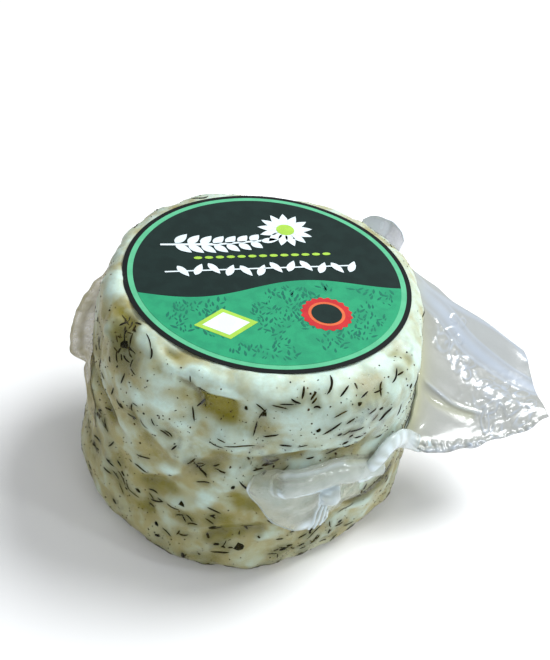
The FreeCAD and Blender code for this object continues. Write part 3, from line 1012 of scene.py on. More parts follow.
def make_fin(film, surface):
    """The end seam's rim, standing out from the left and back of the wheel."""
    along, reach = np.meshgrid(np.linspace(0, 1, 170), np.linspace(0, 1, 18), indexing="ij")
    path = smooth_line(FIN_PATH, 170)
    bearing, height = path[:, :1] + 0 * reach, path[:, 1:2] + 0 * reach
    rise = np.sin(np.clip((bearing - 130.0) / 16.0, 0, 1) * math.pi / 2)
    ragged = flat_noise(bearing, height, 7.0, 30)
    fine = flat_noise(bearing, height, 2.5, 31)
    strip = smooth_step(bearing, 194.0, 198.5)
    full = FIN_DEEP * np.minimum(rise, np.clip((1 - along) / 0.10, 0, 1)) * (1 - 0.60 * strip)
    notch = hump(bearing - 198.0, 1.5)
    full = np.clip(full * (1 + 0.12 * ragged + 0.05 * fine) - 0.8 * notch, 0.25, 5.7)
    root = curd_out(surface, bearing, height) + SKIN_REST
    start = np.clip((root - FIN_FOOT) / (1.8 + full), 0, 0.9)
    outward = reach
    reach = start + (1 - start) * outward
    from_middle = np.maximum(FIN_FOOT + (1.8 + full) * reach, root + 0.35 * outward)
    turn = np.radians(bearing)
    height = height + 1.1 * ragged * reach + 0.5 * np.sin(reach * 5.0) - 0.8 * reach**2
    middle = np.stack([from_middle * np.cos(turn), from_middle * np.sin(turn), height], -1)
    line = hump(reach - 0.62, 0.10)
    edge_line = hump(reach - 0.98, 0.06)
    swell = 0.45 + 2.6 * np.exp(-np.clip(from_middle - 44.8, 0, None) / 0.9) + 0.25 * line
    lift = 0.35 * line + 0.15 * fine
    fold = np.clip(0.35 * line + 0.5 * edge_line + 0.3 * smooth_step(fine, 0.0, 0.7), 0, 1)
    return film_sheet("film_fin", middle, swell, film, lift, fold=fold, cream=hump(reach - 0.25, 0.3))


def ear_middle(across, rise):
    """The ear's middle surface: across is -1 to 1, rise is 0 inside the shoulder and 1 at its tip."""
    turn = math.radians(EAR_BEARING)
    outward = np.array([math.cos(turn), math.sin(turn), 0.0])
    sideways = np.array([-math.sin(turn), math.cos(turn), 0.0])
    lean = math.radians(EAR_LEAN)
    upward = outward * math.sin(lean) + np.array([0.0, 0.0, math.cos(lean)])
    foot = outward * 41.2 + sideways * 2.0 + np.array([0.0, 0.0, 60.5])
    top = 1 - 0.34 * np.abs(across) ** 3.0 - 0.07 * across
    width = EAR_HALF_WIDE * (1 - 0.10 * rise**2)
    cup = 1.5 * across**2 * rise - 0.8 * rise**2 + 0.6 * hump(across + 0.15, 0.22) * rise
    wrinkle = flat_noise(across * 7, rise * 11, 3.0, 40)
    return (foot + sideways * (across * width)[..., None] + upward * (rise * top * EAR_HIGH)[..., None]
            + outward * (cup + 0.22 * wrinkle)[..., None])


def make_ear(film, surface):
    """The pouch's far corner: a cupped tab that stands up behind the label."""
    across, rise = np.meshgrid(np.linspace(-1, 1, 70), np.linspace(0, 1, 60), indexing="ij")
    start = skin_share(surface, ear_middle(across, rise).transpose(1, 0, 2))[:, None]
    rise = start + (1 - start) * rise
    middle = ear_middle(across, rise)
    crease = hump(across + 0.15, 0.13) * smooth_step(rise, 0.2, 0.5)
    rim = hump(rise - 1.0, 0.05)
    # Painted sheen: the half towards +across is paler, and the spots on it are painted glints.
    glint_spots = smooth_step(flat_noise(across * 7, rise * 11, 1.8, 41), 0.35, 0.6) * (across > -0.1)
    fold = 0.35 + 0.45 * smooth_step(across, -0.2, 0.3) + 0.4 * crease + 0.4 * rim + 0.5 * glint_spots
    swell = 0.5 + 2.4 * np.exp(-rise * 5.0) + 0.35 * rim
    cream = 0.5 * np.exp(-rise * 4.0)
    return film_sheet("film_ear", middle, swell, film, 0.0, fold=np.clip(fold, 0, 1), cream=cream)


# The folded flap, as (bearing, height): its outline, its middle and the lines of its tube and wrinkles, with a
# painted shine line along the tube.
FLAP_EDGE = (
    (-42.0, 41.5), (-47.0, 44.0), (-55.5, 45.6), (-65.0, 46.2), (-72.0, 45.7), (-78.0, 45.0),
    (-83.5, 43.2), (-87.3, 39.6), (-82.7, 33.0), (-77.7, 27.3), (-71.3, 23.4), (-64.5, 20.6),
    (-60.5, 19.8), (-56.0, 20.6), (-51.5, 21.6), (-46.5, 24.0), (-43.5, 27.0), (-45.5, 31.0),
    (-43.5, 35.0), (-40.5, 38.5),
)
FLAP_CORE = (-63.0, 34.0)
FLAP_SPINE = ((-75.2, 40.9), (-70.0, 41.3), (-63.5, 41.2), (-55.5, 41.3), (-45.0, 38.6), (-41.0, 38.2))
FLAP_SHINE = ((-77.6, 40.2), (-75.5, 38.2), (-70.7, 37.0), (-64.5, 36.4), (-60.5, 36.2))
FLAP_DOME = (-58.6, 33.6)
FLAP_FAN = (
    ((-61.8, 30.5), (-63.4, 20.9)), ((-60.4, 29.6), (-61.3, 20.2)), ((-59.2, 29.4), (-58.6, 20.6)),
    ((-58.0, 27.0), (-56.8, 23.6)), ((-56.8, 23.6), (-58.2, 21.6)),
)
FLAP_STANDS_OFF = 1.4


def lay_flat(*line):
    """Bearings and heights as millimetres round and up the wheel's side."""
    return [(math.radians(b) * WHEEL_RADIUS, h) for b, h in line]


def make_flap(film, surface):
    """The pouch's near corner, folded down over the front: a tube along its top, a dome and a fan."""
    spokes, rings = 240, 90
    outline = smooth_line(lay_flat(*FLAP_EDGE), spokes, closed=True)
    core = np.array(lay_flat(FLAP_CORE)[0])
    share = np.linspace(0.0, 1.0, rings) ** 0.85
    flat = core + (outline[None] - core) * share[:, None, None]
    across, height = flat[..., 0], flat[..., 1]
    bearing = np.degrees(across / WHEEL_RADIUS)
    base, ways = lie_on(surface, bearing, SIDE_START + height - FOOT_ROUNDING)
    wrinkle = flat_noise(across, height, 5.0, 50)
    fine = flat_noise(across, height, 2.0, 51)

    away, along = near_line(flat, smooth_line(lay_flat(*FLAP_SPINE), 24))
    width = 3.7 - 0.9 * along
    tube = np.clip(1 - (away / width) ** 2, 0, 1) ** 0.9
    tube_edge = hump(away - width, 0.45)
    shine = hump(near_line(flat, smooth_line(lay_flat(*FLAP_SHINE), 20))[0], 0.5)
    centre = lay_flat(FLAP_DOME)[0]
    dome_reach = np.hypot((across - centre[0]) / 3.0, (height - centre[1]) / 3.4) * (1 + 0.18 * fine)
    dome = np.clip(1 - dome_reach**2, 0, 1) ** 0.7
    dome_rim = hump(dome_reach - 1.0, 0.16)
    fan = np.zeros_like(across)
    for wrinkle_line in FLAP_FAN:
        gap = near_line(flat, smooth_line(lay_flat(*wrinkle_line), 6) + 0.25 * fine[..., None].mean())[0]
        fan = np.maximum(fan, hump(gap, 0.38))
    lobe = smooth_step(bearing, -57.0, -54.0) * (1 - smooth_step(tube, 0.0, 0.3))
    corner = smooth_step(-bearing, 76.0, 79.0) * smooth_step(height, 40.0, 42.0)
    thin = np.maximum(lobe, corner)
    rim = smooth_step(share, 0.955, 1.0)[:, None] * np.ones(spokes)
    left_rim = rim * smooth_step(-bearing, 58.0, 62.0) * (1 - smooth_step(height, 40.0, 43.0))
    painted_glint_spot = np.exp(-(((bearing + 65.5) / 3.4) ** 2 + ((height - 23.5) / 1.9) ** 2))
    stand = FLAP_STANDS_OFF + 1.2 * smooth_step(share, 0.0, 0.8)[:, None] * smooth_step(-bearing, 60.0, 74.0)
    stand = stand * (1 - 0.6 * thin) + 1.7 * tube + 2.2 * dome + 0.6 * fan
    stand = stand + 0.45 * wrinkle + 0.16 * fine * (0.6 + thin) - 0.5 * rim
    middle = base + ways * stand[..., None]
    swell = 0.36 + 1.2 * tube + 0.25 * left_rim + 0.6 * dome
    # Painted glints: the shine line, the glint spot, the tube's edges and the dome's rim are paler and more
    # opaque, besides the milky fan and rim.
    fold = 0.22 + 0.20 * tube + 0.35 * tube_edge + 0.8 * shine + 0.45 * dome + 0.5 * dome_rim + 0.75 * fan
    fold = fold + 1.0 * left_rim + 0.6 * painted_glint_spot - 0.2 * thin + 0.2 * thin * smooth_step(fine, 0.1, 0.6)
    cream = np.clip(left_rim * 0.2 + 0.75 * thin, 0, 1)
    piece = round_sheet("film_flap", middle, ways, swell, film, fold=np.clip(fold, 0, 1), cream=cream)
    return belongs(piece, "film", "film_bag")


def round_sheet(name, middle, ways, thickness, material, **values):
    """A closed sheet from a (rings, spokes, 3) grid whose first ring is one point."""
    rings, spokes, _ = middle.shape
    half = thickness[..., None] / 2
    points = []
    for side in (1, -1):
        layer = middle + side * ways * half
        points.append(np.concatenate([layer[0, :1], layer[1:].reshape(-1, 3)]))
    count = len(points[0])
    faces = []
    for side in range(2):
        base = side * count
        for k in range(spokes):
            n = (k + 1) % spokes
            faces.append((base, base + 1 + k, base + 1 + n))
            for r in range(rings - 2):
                a, b = base + 1 + r * spokes, base + 1 + (r + 1) * spokes
                faces.append((a + k, b + k, b + n, a + n))
    for k in range(spokes):
        n = (k + 1) % spokes
        a = 1 + (rings - 2) * spokes
        faces.append((a + k, count + a + k, count + a + n, a + n))
    piece = mesh_piece(name, np.concatenate(points), faces, material)
    return finished(piece, values, (rings, spokes), lambda grid: np.append(grid[0, :1], grid[1:]))


def tube_faces(stations, sides):
    """Quads round a tube's rings, and a flat face that closes each of its ends."""
    faces = []
    for i in range(stations - 1):
        for k in range(sides):
            n = (k + 1) % sides
            faces.append((i * sides + k, i * sides + n, (i + 1) * sides + n, (i + 1) * sides + k))
    faces.append(tuple(range(sides - 1, -1, -1)))
    faces.append(tuple((stations - 1) * sides + k for k in range(sides)))
    return faces


# The ribbon's path: first down the tail, as (out, far), then on the wheel, as (bearing, height).
RIBBON_ON_TAIL = ((0.38, 0.02), (0.30, 0.03), (0.23, 0.03))
RIBBON_ON_WHEEL = ((-31.0, 43.2), (-36.6, 45.0), (-41.0, 44.2), (-43.4, 41.3), (-46.0, 37.9), (-49.5, 36.6))
RIBBON_LIFT = 2.0


def make_ribbon(film, surface):
    """The near seam, rolled into a band that runs down from the tail onto the flap's end."""
    on_tail = tail_middle(*np.transpose(RIBBON_ON_TAIL))
    bearings, heights = np.transpose(RIBBON_ON_WHEEL)
    runs = np.array([run_at(height) for height in heights])
    on_wheel, _ = lie_on(surface, bearings, runs, RIBBON_LIFT)
    line = smooth_line(np.concatenate([on_tail, on_wheel]), RIBBON_STATIONS)
    tangent = unit(np.gradient(line, axis=0))
    t = np.linspace(0, 1, RIBBON_STATIONS)[:, None]
    start = smooth_step(t, 0.0, 0.4)
    outward = unit(line * np.array([1.0, 1.0, 0.0])) * start + np.array([0.0, -0.5, 0.85]) * (1 - start)
    outward = unit(outward - tangent * np.sum(outward * tangent, 1, keepdims=True))
    sideways = np.cross(tangent, outward)
    half_wide = RIBBON_HALF_WIDE * np.sin(np.clip(t * 1.6 + 0.5, 0, math.pi / 2))
    half_wide = half_wide * (1 - 0.5 * smooth_step(t, 0.86, 1.0))
    half_thick = RIBBON_HALF_THICK * np.sin(np.clip(t * 2 + 0.3, 0, math.pi / 2))
    half_thick = half_thick * (1 - 0.6 * smooth_step(t, 0.85, 1.0))
    turn = np.linspace(0, 2 * math.pi, RIBBON_SIDES, endpoint=False)
    wave = 1 + 0.05 * np.sin(t * 23 + 2 * np.cos(turn)[None]) + 0.02 * np.sin(t * 61)
    points = line[:, None] + (sideways[:, None] * (half_wide * np.cos(turn) * wave)[..., None]
                              + outward[:, None] * (half_thick * np.sin(turn) * wave)[..., None])
    faces = tube_faces(RIBBON_STATIONS, RIBBON_SIDES)
    piece = mesh_piece("film_ribbon", points.reshape(-1, 3), faces, film)
    # Painted glints: stripes of paler, more opaque film along the band's outer face.
    fold = 0.55 + 0.35 * np.clip(np.sin(turn), 0, 1) * np.sin(t * 34) ** 2
    point_values(piece, "fold", np.clip(fold, 0, 1).ravel())
    point_values(piece, "cream", np.zeros(fold.size))
    face_out(piece)
    return belongs(piece, "film", "film_bag")


def make_skin(film):
    """The film that clings to the curd and bridges its dents."""
    runs = wheel_rows(18, 18, 64, 14, 18)
    points, ways, bearing, run = wheel_grid(SKIN_ROUNDS, runs)
    relief, _ = curd_relief(points, bearing, run)
    shape = (len(runs), SKIN_ROUNDS)
    gap = 1000 * bpy.context.scene.film_settings.skin_gap
    cling = relief + gap
    bridge = blurred(relief.reshape(shape), 3).ravel()
    height = wheel_at(run)[1]
    on_foot = height < FLAT_FOOT
    taut = np.maximum(cling, np.where(on_foot, cling, bridge + 0.05))
    on_side = smooth_step(run, SIDE_START - 8, SIDE_START + 4)
    on_side = on_side * (1 - smooth_step(run, TOP_END - 2, TOP_END + 2))
    wrinkle = soft_noise(points * np.array([1.0, 1.0, 0.45]), 3.2, 60)
    wrinkle = hump(wrinkle, 0.10) * smooth_step(soft_noise(points, 16.0, 61), 0.0, 0.5)
    taut += 0.16 * wrinkle * on_side
    outer = (points + ways * taut[:, None]).reshape(*shape, 3)
    inner = (points + ways * (taut - SKIN_THICK)[:, None]).reshape(*shape, 3)
    first = with_ends(outer)
    faces = wheel_faces(SKIN_ROUNDS, len(runs))
    faces += wheel_faces(SKIN_ROUNDS, len(runs), len(first), flip=True)
    piece = mesh_piece("film_skin", np.concatenate([first, with_ends(inner)]), faces, film)
    # The bridges and wrinkles are milkier, and are tinted towards the glint colour as painted sheen.
    fold = np.clip(0.3 * (taut - cling) + 0.3 * wrinkle * on_side, 0, 1)
    ends = np.zeros(2)
    point_values(piece, "fold", np.concatenate([fold, ends, fold, ends]))
    point_values(piece, "cream", np.zeros(2 * len(first)))
    return belongs(piece, "film", "film_bag")


# ---------------------------------------------------------------- curd and herbs


def stain_amount(surface, herbs):
    """How near each point of the curd's grid is to the herbs' own points, 0 to 1."""
    grid, runs = surface[0], surface[1]
    rows = len(runs)
    points = np.concatenate(herbs)
    bearing = np.degrees(np.arctan2(points[:, 1], points[:, 0])) % 360.0
    height = np.clip(points[:, 2], 0.3, WHEEL_HEIGHT - 0.2)
    side = np.hypot(points[:, 0], points[:, 1])
    run = np.array([run_at(level) for level in height])
    keep = side > TOP_FLAT - 1.0
    row = np.interp(run[keep], runs, np.arange(rows)).round().astype(int)
    column = (bearing[keep] / 360.0 * grid.shape[1]).round().astype(int) % grid.shape[1]
    count = np.zeros((rows, grid.shape[1]))
    np.add.at(count, (row, column), 1.0)
    count = np.minimum(count, 6.0)
    near, wide = blurred(count, 1), blurred(count, 4)
    return np.clip(0.22 * near + 0.45 * wide, 0, 1).ravel()


def make_cheese(surface, herbs):
    """The wheel of curd, stained where herbs lie on it."""
    grid, runs, whey, patches_and_shade = surface
    faces = wheel_faces(CURD_ROUNDS, len(runs))
    piece = mesh_piece("cheese_wheel", with_ends(grid), faces, curd_material())
    for name, values in (("whey", whey), ("patches_and_shade", patches_and_shade), ("stain", stain_amount(surface, herbs))):
        point_values(piece, name, np.append(values, [0, 0]))
    return belongs(piece, "cheese", "cheese")


def strand_mesh(surface, bearing, level, heading, length, width, bend, stations=8, sides=6):
    """One herb strand on the curd, a flattened, bent stalk. Millimetres, and radians but for the bearing."""
    t = np.linspace(0, 1, stations)
    steps = length / (stations - 1)
    turn = heading + bend * (t - 0.5)
    across = np.concatenate([[0], np.cumsum(np.cos(turn[:-1]) * steps)])
    rise = np.concatenate([[0], np.cumsum(np.sin(turn[:-1]) * steps)])
    run = np.clip(run_up(level) + rise, 3.0, WHOLE_RUN - 3.0)
    radius = np.maximum(wheel_at(run)[0], 3.0)
    line, ways = lie_on(surface, bearing + np.degrees(across / radius), run)
    side = unit(np.cross(ways, unit(np.gradient(line, axis=0))))
    taper = np.clip(1.15 - np.abs(2 * t - 1.0) ** 3, 0.2, 1) * width / 2
    ring = np.linspace(0, 2 * math.pi, sides, endpoint=False)
    thick = np.minimum(0.42 * width, 0.2)
    high = thick * (np.sin(ring) * taper[:, None] / taper.max())
    points = (line[:, None] + side[:, None] * (taper[:, None] * np.cos(ring))[..., None]
              + ways[:, None] * high[..., None])
    return points.reshape(-1, 3), tube_faces(stations, sides)


def flake_mesh(surface, bearing, level, heading, length, width, rng, corners=7):
    """One leaf flake: an uneven, slightly domed plate lying on the curd."""
    ring = np.linspace(0, 2 * math.pi, corners, endpoint=False)
    size = rng.uniform(0.6, 1.15, corners)
    a = np.cos(ring) * size * length / 2
    b = np.sin(ring) * size * width / 2
    across = a * math.cos(heading) - b * math.sin(heading)
    rise = a * math.sin(heading) + b * math.cos(heading)
    middle_run = run_up(level)
    radius = max(float(wheel_at(middle_run)[0]), 3.0)
    run = np.clip(middle_run + np.append(rise, 0), 3.0, WHOLE_RUN - 3.0)
    turn = bearing + np.degrees(np.append(across, 0) / radius)
    upper, _ = lie_on(surface, turn, run, FLAKE_HALF_THICK)
    upper[:-1] -= 0.04 * (upper[:-1] - upper[-1])
    lower, _ = lie_on(surface, turn, run, -FLAKE_HALF_THICK)
    crown, _ = lie_on(surface, turn[-1:], run[-1:], 0.2)
    points = np.concatenate([upper[:-1], lower[:-1], crown, lower[-1:]])
    faces = []
    for k in range(corners):
        n = (k + 1) % corners
        faces += [(2 * corners, k, n), (2 * corners + 1, corners + n, corners + k)]
        faces.append((k, corners + k, corners + n, n))
    return points, faces


def joined(parts):
    """Several small meshes as one, with the tone of each at its points."""
    points, faces, tones, first = [], [], [], 0
    for part_points, part_faces, tone in parts:
        points.append(part_points)
        faces += [tuple(first + i for i in face) for face in part_faces]
        tones.append(np.full(len(part_points), tone))
        first += len(part_points)
    return np.concatenate(points), faces, np.concatenate(tones)


FLAKE_HALF_THICK = 0.12
# Where herbs crowd together: (bearing, level, half width, half height, how many strands, their length).
CLUSTERS = (
    (-134.0, 23.0, 6.0, 3.0, 9, 3.2),
    (-31.0, 26.3, 2.0, 1.3, 26, 1.5),
    (-36.0, 24.7, 2.2, 1.0, 22, 1.4),
    (-44.0, 24.6, 2.6, 0.8, 12, 1.4),
    (-112.0, 4.0, 16.0, 1.4, 26, 2.4),
    (-76.0, 3.6, 14.0, 1.2, 22, 2.2),
    (-84.0, 45.8, 2.0, 1.0, 5, 1.6),
    (-100.0, 41.5, 4.0, 1.6, 8, 2.2),
    (-88.0, 17.0, 7.0, 3.0, 10, 1.8),
    (-110.0, 20.0, 8.0, 4.0, 12, 2.0),
    (-147.0, 40.0, 3.0, 12.0, 12, 2.0),
    (-140.0, 68.0, 2.0, 1.6, 9, 2.2),
    (-143.0, 72.0, 2.4, 0.8, 8, 2.2),
    (-136.5, 64.5, 2.6, 1.6, 8, 2.2),
    (-150.0, 58.0, 4.0, 5.0, 8, 2.4),
    (-80.0, 67.0, 14.0, 1.2, 8, 2.6),
    (-50.0, 66.5, 12.0, 1.5, 9, 2.6),
    (-60.0, 12.0, 9.0, 2.5, 10, 2.2),
    (-118.0, 52.0, 5.0, 3.0, 6, 2.0),
    (150.0, 30.0, 10.0, 8.0, 12, 2.4),
    (60.0, 28.0, 10.0, 8.0, 12, 2.4),
    (95.0, 50.0, 9.0, 6.0, 10, 2.4),
)
# Large flakes: (bearing, level, heading in radians, length, width).
LONE_FLAKES = (
    (-86.5, 14.5, 0.1, 3.4, 2.5), (-136.8, 66.3, 0.6, 3.0, 2.4), (-68.5, 59.5, 1.2, 1.5, 1.3),
    (-56.5, 55.0, 0.9, 1.6, 1.1), (-96.5, 20.5, 0.4, 2.0, 1.3), (-106.0, 60.0, 0.8, 2.4, 0.8),
    (-53.5, 53.5, 0.1, 2.6, 0.9), (-91.5, 36.5, 1.3, 2.2, 1.0),
)
# Large strands: (bearing, level, heading in degrees, length, width, bend in degrees).
LONE_STRANDS = (
    (-84.3, 55.0, 28, 4.0, 0.55, 10), (-79.0, 53.2, 8, 3.0, 0.62, 5), (-73.5, 53.0, 12, 2.6, 0.35, 12),
    (-67.0, 58.0, 42, 5.4, 0.62, 6), (-60.0, 60.5, 30, 2.4, 0.45, 0), (-58.0, 57.0, 10, 3.8, 0.55, 25),
    (-57.0, 50.0, 5, 1.8, 0.8, 0), (-86.5, 60.0, 70, 4.6, 0.42, -14), (-87.5, 55.0, 84, 4.2, 0.4, 8),
    (-47.0, 57.0, 52, 4.6, 1.0, 8), (-45.0, 49.5, 15, 1.8, 0.6, 0), (-38.5, 55.0, 78, 3.6, 0.5, 6),
    (-53.0, 62.0, 25, 2.4, 0.5, 0), (-31.0, 60.0, 66, 4.0, 0.7, 10), (-69.0, 47.0, 6, 2.2, 0.5, 0),
    (-62.0, 47.2, 14, 3.6, 0.42, 10), (-101.0, 51.0, -20, 4.0, 0.4, 30), (-113.0, 44.0, 60, 2.6, 0.5, 0),
    (-126.0, 36.0, 20, 4.6, 0.5, 20), (-128.5, 50.0, 75, 4.0, 0.45, -8), (-133.0, 57.0, 80, 3.6, 0.5, 6),
    (-104.0, 35.0, 12, 4.0, 0.5, -20), (-99.0, 28.0, -30, 4.4, 0.5, 15), (-78.5, 25.0, -32, 2.8, 0.5, 10),
    (-74.0, 17.0, -6, 2.2, 0.6, 0), (-65.0, 15.0, 12, 2.8, 0.4, 0), (-96.0, 12.0, 6, 5.0, 0.6, 12),
    (-120.0, 22.0, 30, 5.0, 0.5, 20), (-140.0, 30.0, 60, 4.0, 0.5, 10), (-138.0, 50.0, 70, 3.6, 0.5, -10),
)


def make_herbs(surface):
    """Dried herb strands, leaf flakes and specks, half sunk in the curd."""
    sizes = bpy.context.scene.herb_settings
    rng = np.random.default_rng(SEED)

    def thinned(bearing, level):
        """How likely a herb is to stay at a place, from about 0 to 1: they lie in loose drifts."""
        spot = plain_wheel(np.array([bearing]), np.array([run_up(level)]))[0]
        return 0.5 + 0.9 * float(soft_noise(spot, 15.0, 70)[0])

    def drift(bearing):
        """Most strands slope one way on the left and the other on the right, as the film dragged them."""
        return math.radians(34.0 * math.sin(math.radians(bearing + 100.0) * 1.5)) + rng.normal() * 0.62

    def spread(centre, width, low, high):
        """A size round a common one, kept between a low and a high share of it."""
        return float(np.clip(rng.lognormal(centre, width), low, high))

    def flake(bearing, level, length, slimmest, widest, corners=7):
        heading = rng.uniform(0, 3)
        width = length * rng.uniform(slimmest, widest)
        return flake_mesh(surface, bearing, level, heading, length, width, rng, corners)

    strands = []
    for bearing, level, heading, length, width, bend in LONE_STRANDS:
        mesh = strand_mesh(surface, bearing, level, math.radians(heading), length, width, math.radians(bend))
        strands.append((*mesh, 0.25))
    for bearing, middle, half_width, half_height, count, common in CLUSTERS:
        for _ in range(count):
            at = bearing + math.degrees(rng.normal() * half_width / WHEEL_RADIUS)
            level = float(np.clip(middle + rng.normal() * half_height, 1.5, 73.0))
            mesh = strand_mesh(surface, at, level, drift(at), common * rng.uniform(0.6, 1.7),
                               rng.uniform(0.28, 0.6), rng.normal() * 0.5)
            strands.append((*mesh, rng.uniform(0, 0.8)))
    while len(strands) < sizes.strand_count:
        bearing, level = rng.uniform(-180, 180), rng.uniform(1.0, 72.5)
        if rng.random() > thinned(bearing, level):
            continue
        length = 1000 * sizes.strand_length * spread(-0.2, 0.5, 0.25, 2.3)
        width = 1000 * sizes.strand_width * spread(-0.05, 0.42, 0.45, 2.3)
        mesh = strand_mesh(surface, bearing, level, drift(bearing), length, width, rng.normal() * 0.8)
        strands.append((*mesh, float(rng.beta(1.2, 2.6))))
    flakes = [(*flake_mesh(surface, *place, rng), 0.3) for place in LONE_FLAKES]
    while len(flakes) < sizes.flake_count:
        bearing, level = rng.uniform(-180, 180), rng.uniform(2.0, 68.0)
        mesh = flake(bearing, level, rng.uniform(0.8, 2.1), 0.35, 0.75)
        flakes.append((*mesh, float(rng.beta(1.4, 2.0))))
    specks = []
    while len(specks) < sizes.speck_count:
        bearing, level = rng.uniform(-180, 180), rng.uniform(1.0, 72.5)
        if rng.random() > thinned(bearing, level) + 0.2:
            continue
        mesh = flake(bearing, level, spread(-1.05, 0.4, 0.16, 0.9), 0.4, 0.9, 5)
        specks.append((*mesh, float(rng.beta(1.2, 1.6))))
    kinds = (
        ("herb_strands", strands, ("dried herb", (0.001, 0.001, 0.0), (0.058, 0.044, 0.005), 0.5)),
        ("herb_flakes", flakes, ("dried leaf", (0.001, 0.001, 0.0), (0.045, 0.038, 0.004), 0.6)),
        ("herb_specks", specks, ("dried husk", (0.004, 0.003, 0.0), (0.09, 0.045, 0.010), 0.6)),
    )
    for name, parts, finish in kinds:
        points, faces, tones = joined(parts)
        piece = mesh_piece(name, points, faces, herb_material(*finish))
        point_values(piece, "tone", tones)
        face_out(piece)
        belongs(piece, "cheese")
    return [part[0] for part in strands + flakes]


# ---------------------------------------------------------------- label


PAPER_THICK = 0.22
PRINT_STEP = 0.035
PRINT_THICK = 0.03
LABEL_SLANT = 17.0          # degrees that the whole print is turned by
# Middles of the daisy, the badge and the seal, before that turn.
DAISY = (9.0, 20.0)
BADGE = (-14.5, -18.5)
SEAL = (11.5, -16.5)
# The label's inks: a colour, and for some a second one that they are mottled with.
INKS = {
    "black": ((0.004, 0.006, 0.006),),
    "mint": ((0.10, 0.42, 0.23), (0.075, 0.36, 0.19)),
    "charcoal green": ((0.005, 0.015, 0.013), (0.008, 0.022, 0.019)),
    "meadow": ((0.022, 0.285, 0.135), (0.016, 0.215, 0.110)),
    "leaf shade": ((0.010, 0.13, 0.085), (0.016, 0.18, 0.10)),
    "lime": ((0.34, 0.56, 0.07),),
    "white": ((0.66, 0.74, 0.76), (0.58, 0.67, 0.70)),
    "red": ((0.48, 0.028, 0.030), (0.38, 0.02, 0.025)),
    "orange": ((0.62, 0.13, 0.05),),
}


def label_height(x, y):
    """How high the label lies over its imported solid's foot, in millimetres: it follows the curd a little."""
    edge = smooth_step(np.hypot(x, y), 20.0, 37.0)
    return 0.12 + 0.16 * flat_noise(x, y, 24.0, 80) * edge


def inlay(name, outline, level, material, rings=6, core=None):
    """A thin printed shape on the label: its outline's points, on its print level, 0 for the paper itself."""
    outline = np.asarray(outline, float)
    core = outline.mean(0) if core is None else np.asarray(core, float)
    share = np.linspace(0, 1, rings + 1)
    flat = core + (outline[None] - core) * share[:, None, None]
    lift = label_height(flat[..., 0], flat[..., 1])
    top = 1000 * LABEL_LOW.z + lift + PAPER_THICK + PRINT_STEP * level
    deep = PAPER_THICK if level == 0 else PRINT_THICK
    middle = np.concatenate([flat, (top - deep / 2)[..., None]], -1)
    ways = np.zeros_like(middle)
    ways[..., 2] = 1.0
    return round_sheet(name, middle, ways, np.full(top.shape, deep), material)


def turned(points, degrees, x=0.0, y=0.0, size=1.0):
    """Points scaled, turned about the origin, and then moved by x and y."""
    cos, sin = math.cos(math.radians(degrees)), math.sin(math.radians(degrees))
    points = np.asarray(points, float) * size
    return points @ np.array([[cos, sin], [-sin, cos]]) + np.array([x, y])


def slanted(points):
    """Points of the print, turned to the slant that the label lies at."""
    return turned(points, LABEL_SLANT)


def leaf_outline(length, width, count=18):
    """A pointed leaf along +X from its stalk."""
    t = np.linspace(0, 1, count // 2 + 1)
    half = width / 2 * np.sin(np.pi * t**0.8) ** 0.9
    upper = np.stack([t * length, half], -1)
    lower = np.stack([t[-2:0:-1] * length, -half[-2:0:-1]], -1)
    return np.concatenate([upper, lower])


def round_outline(radius, count=96, scallops=0, depth=0.0):
    """A circle, or a rosette with that many scallops."""
    turn = np.linspace(0, 2 * math.pi, count, endpoint=False)
    reach = radius + depth * np.cos(scallops * turn)
    return np.stack([reach * np.cos(turn), reach * np.sin(turn)], -1)


def below_line(radius, line_y, count=60):
    """The outline of the part of a disc below a line y = line_y(x)."""
    xs = np.linspace(-radius, radius, 400)
    inside = [x for x in xs if line_y(x) ** 2 + x * x < radius * radius]
    left, right = inside[0], inside[-1]
    edge_xs = np.linspace(left, right, count)
    edge = [(x, line_y(x)) for x in edge_xs]
    from_angle = math.atan2(line_y(right), right)
    to_angle = math.atan2(line_y(left), left)
    if to_angle > from_angle:
        to_angle -= 2 * math.pi
    angles = np.linspace(from_angle, to_angle, count)[1:-1]
    arc = [(radius * math.cos(angle), radius * math.sin(angle)) for angle in angles]
    return np.array(edge + arc)


def joined_inlays(name, shapes, level, material):
    """Several small printed shapes as one piece."""
    parts, faces, first = [], [], 0
    for outline in shapes:
        made = inlay("part", outline, level, material, rings=1)
        mesh = made.data
        parts.append(np.array([v.co for v in mesh.vertices]) / MM)
        faces += [tuple(first + i for i in face.vertices) for face in mesh.polygons]
        first += len(mesh.vertices)
        bpy.data.objects.remove(made)
        bpy.data.meshes.remove(mesh)
    return mesh_piece(name, np.concatenate(parts), faces, material)


def meadow_edge(x, level=-5.0):
    """The meadow's wavy upper edge."""
    return level + 2.6 * math.sin(x / 9.0 + 0.6)


def meadow_blades(field, rng):
    """Outlines of short blades strewn over the meadow in drifts, none of them touching another."""
    blades, taken = [], np.empty((0, 2))
    for _ in range(6000):
        x, y = rng.uniform(-field, field), rng.uniform(-field, 0)
        if len(blades) >= 360 or soft_noise(np.array([[x, y, 0.0]]), 7.0, 9)[0] < -0.05:
            continue
        size = rng.uniform(0.9, 2.4)
        outline = leaf_outline(size, size * 0.32, 10)
        blade = turned(outline, rng.normal(80, 34) + LABEL_SLANT, *slanted([(x, y)])[0])
        if y >= meadow_edge(x, -7.5) or math.hypot(x, y) >= field - 1.6:
            continue
        if not len(taken) or np.linalg.norm(taken[:, None] - blade, axis=-1).min() > 0.16:
            blades.append(blade)
            taken = np.concatenate([taken, blade])
    return blades


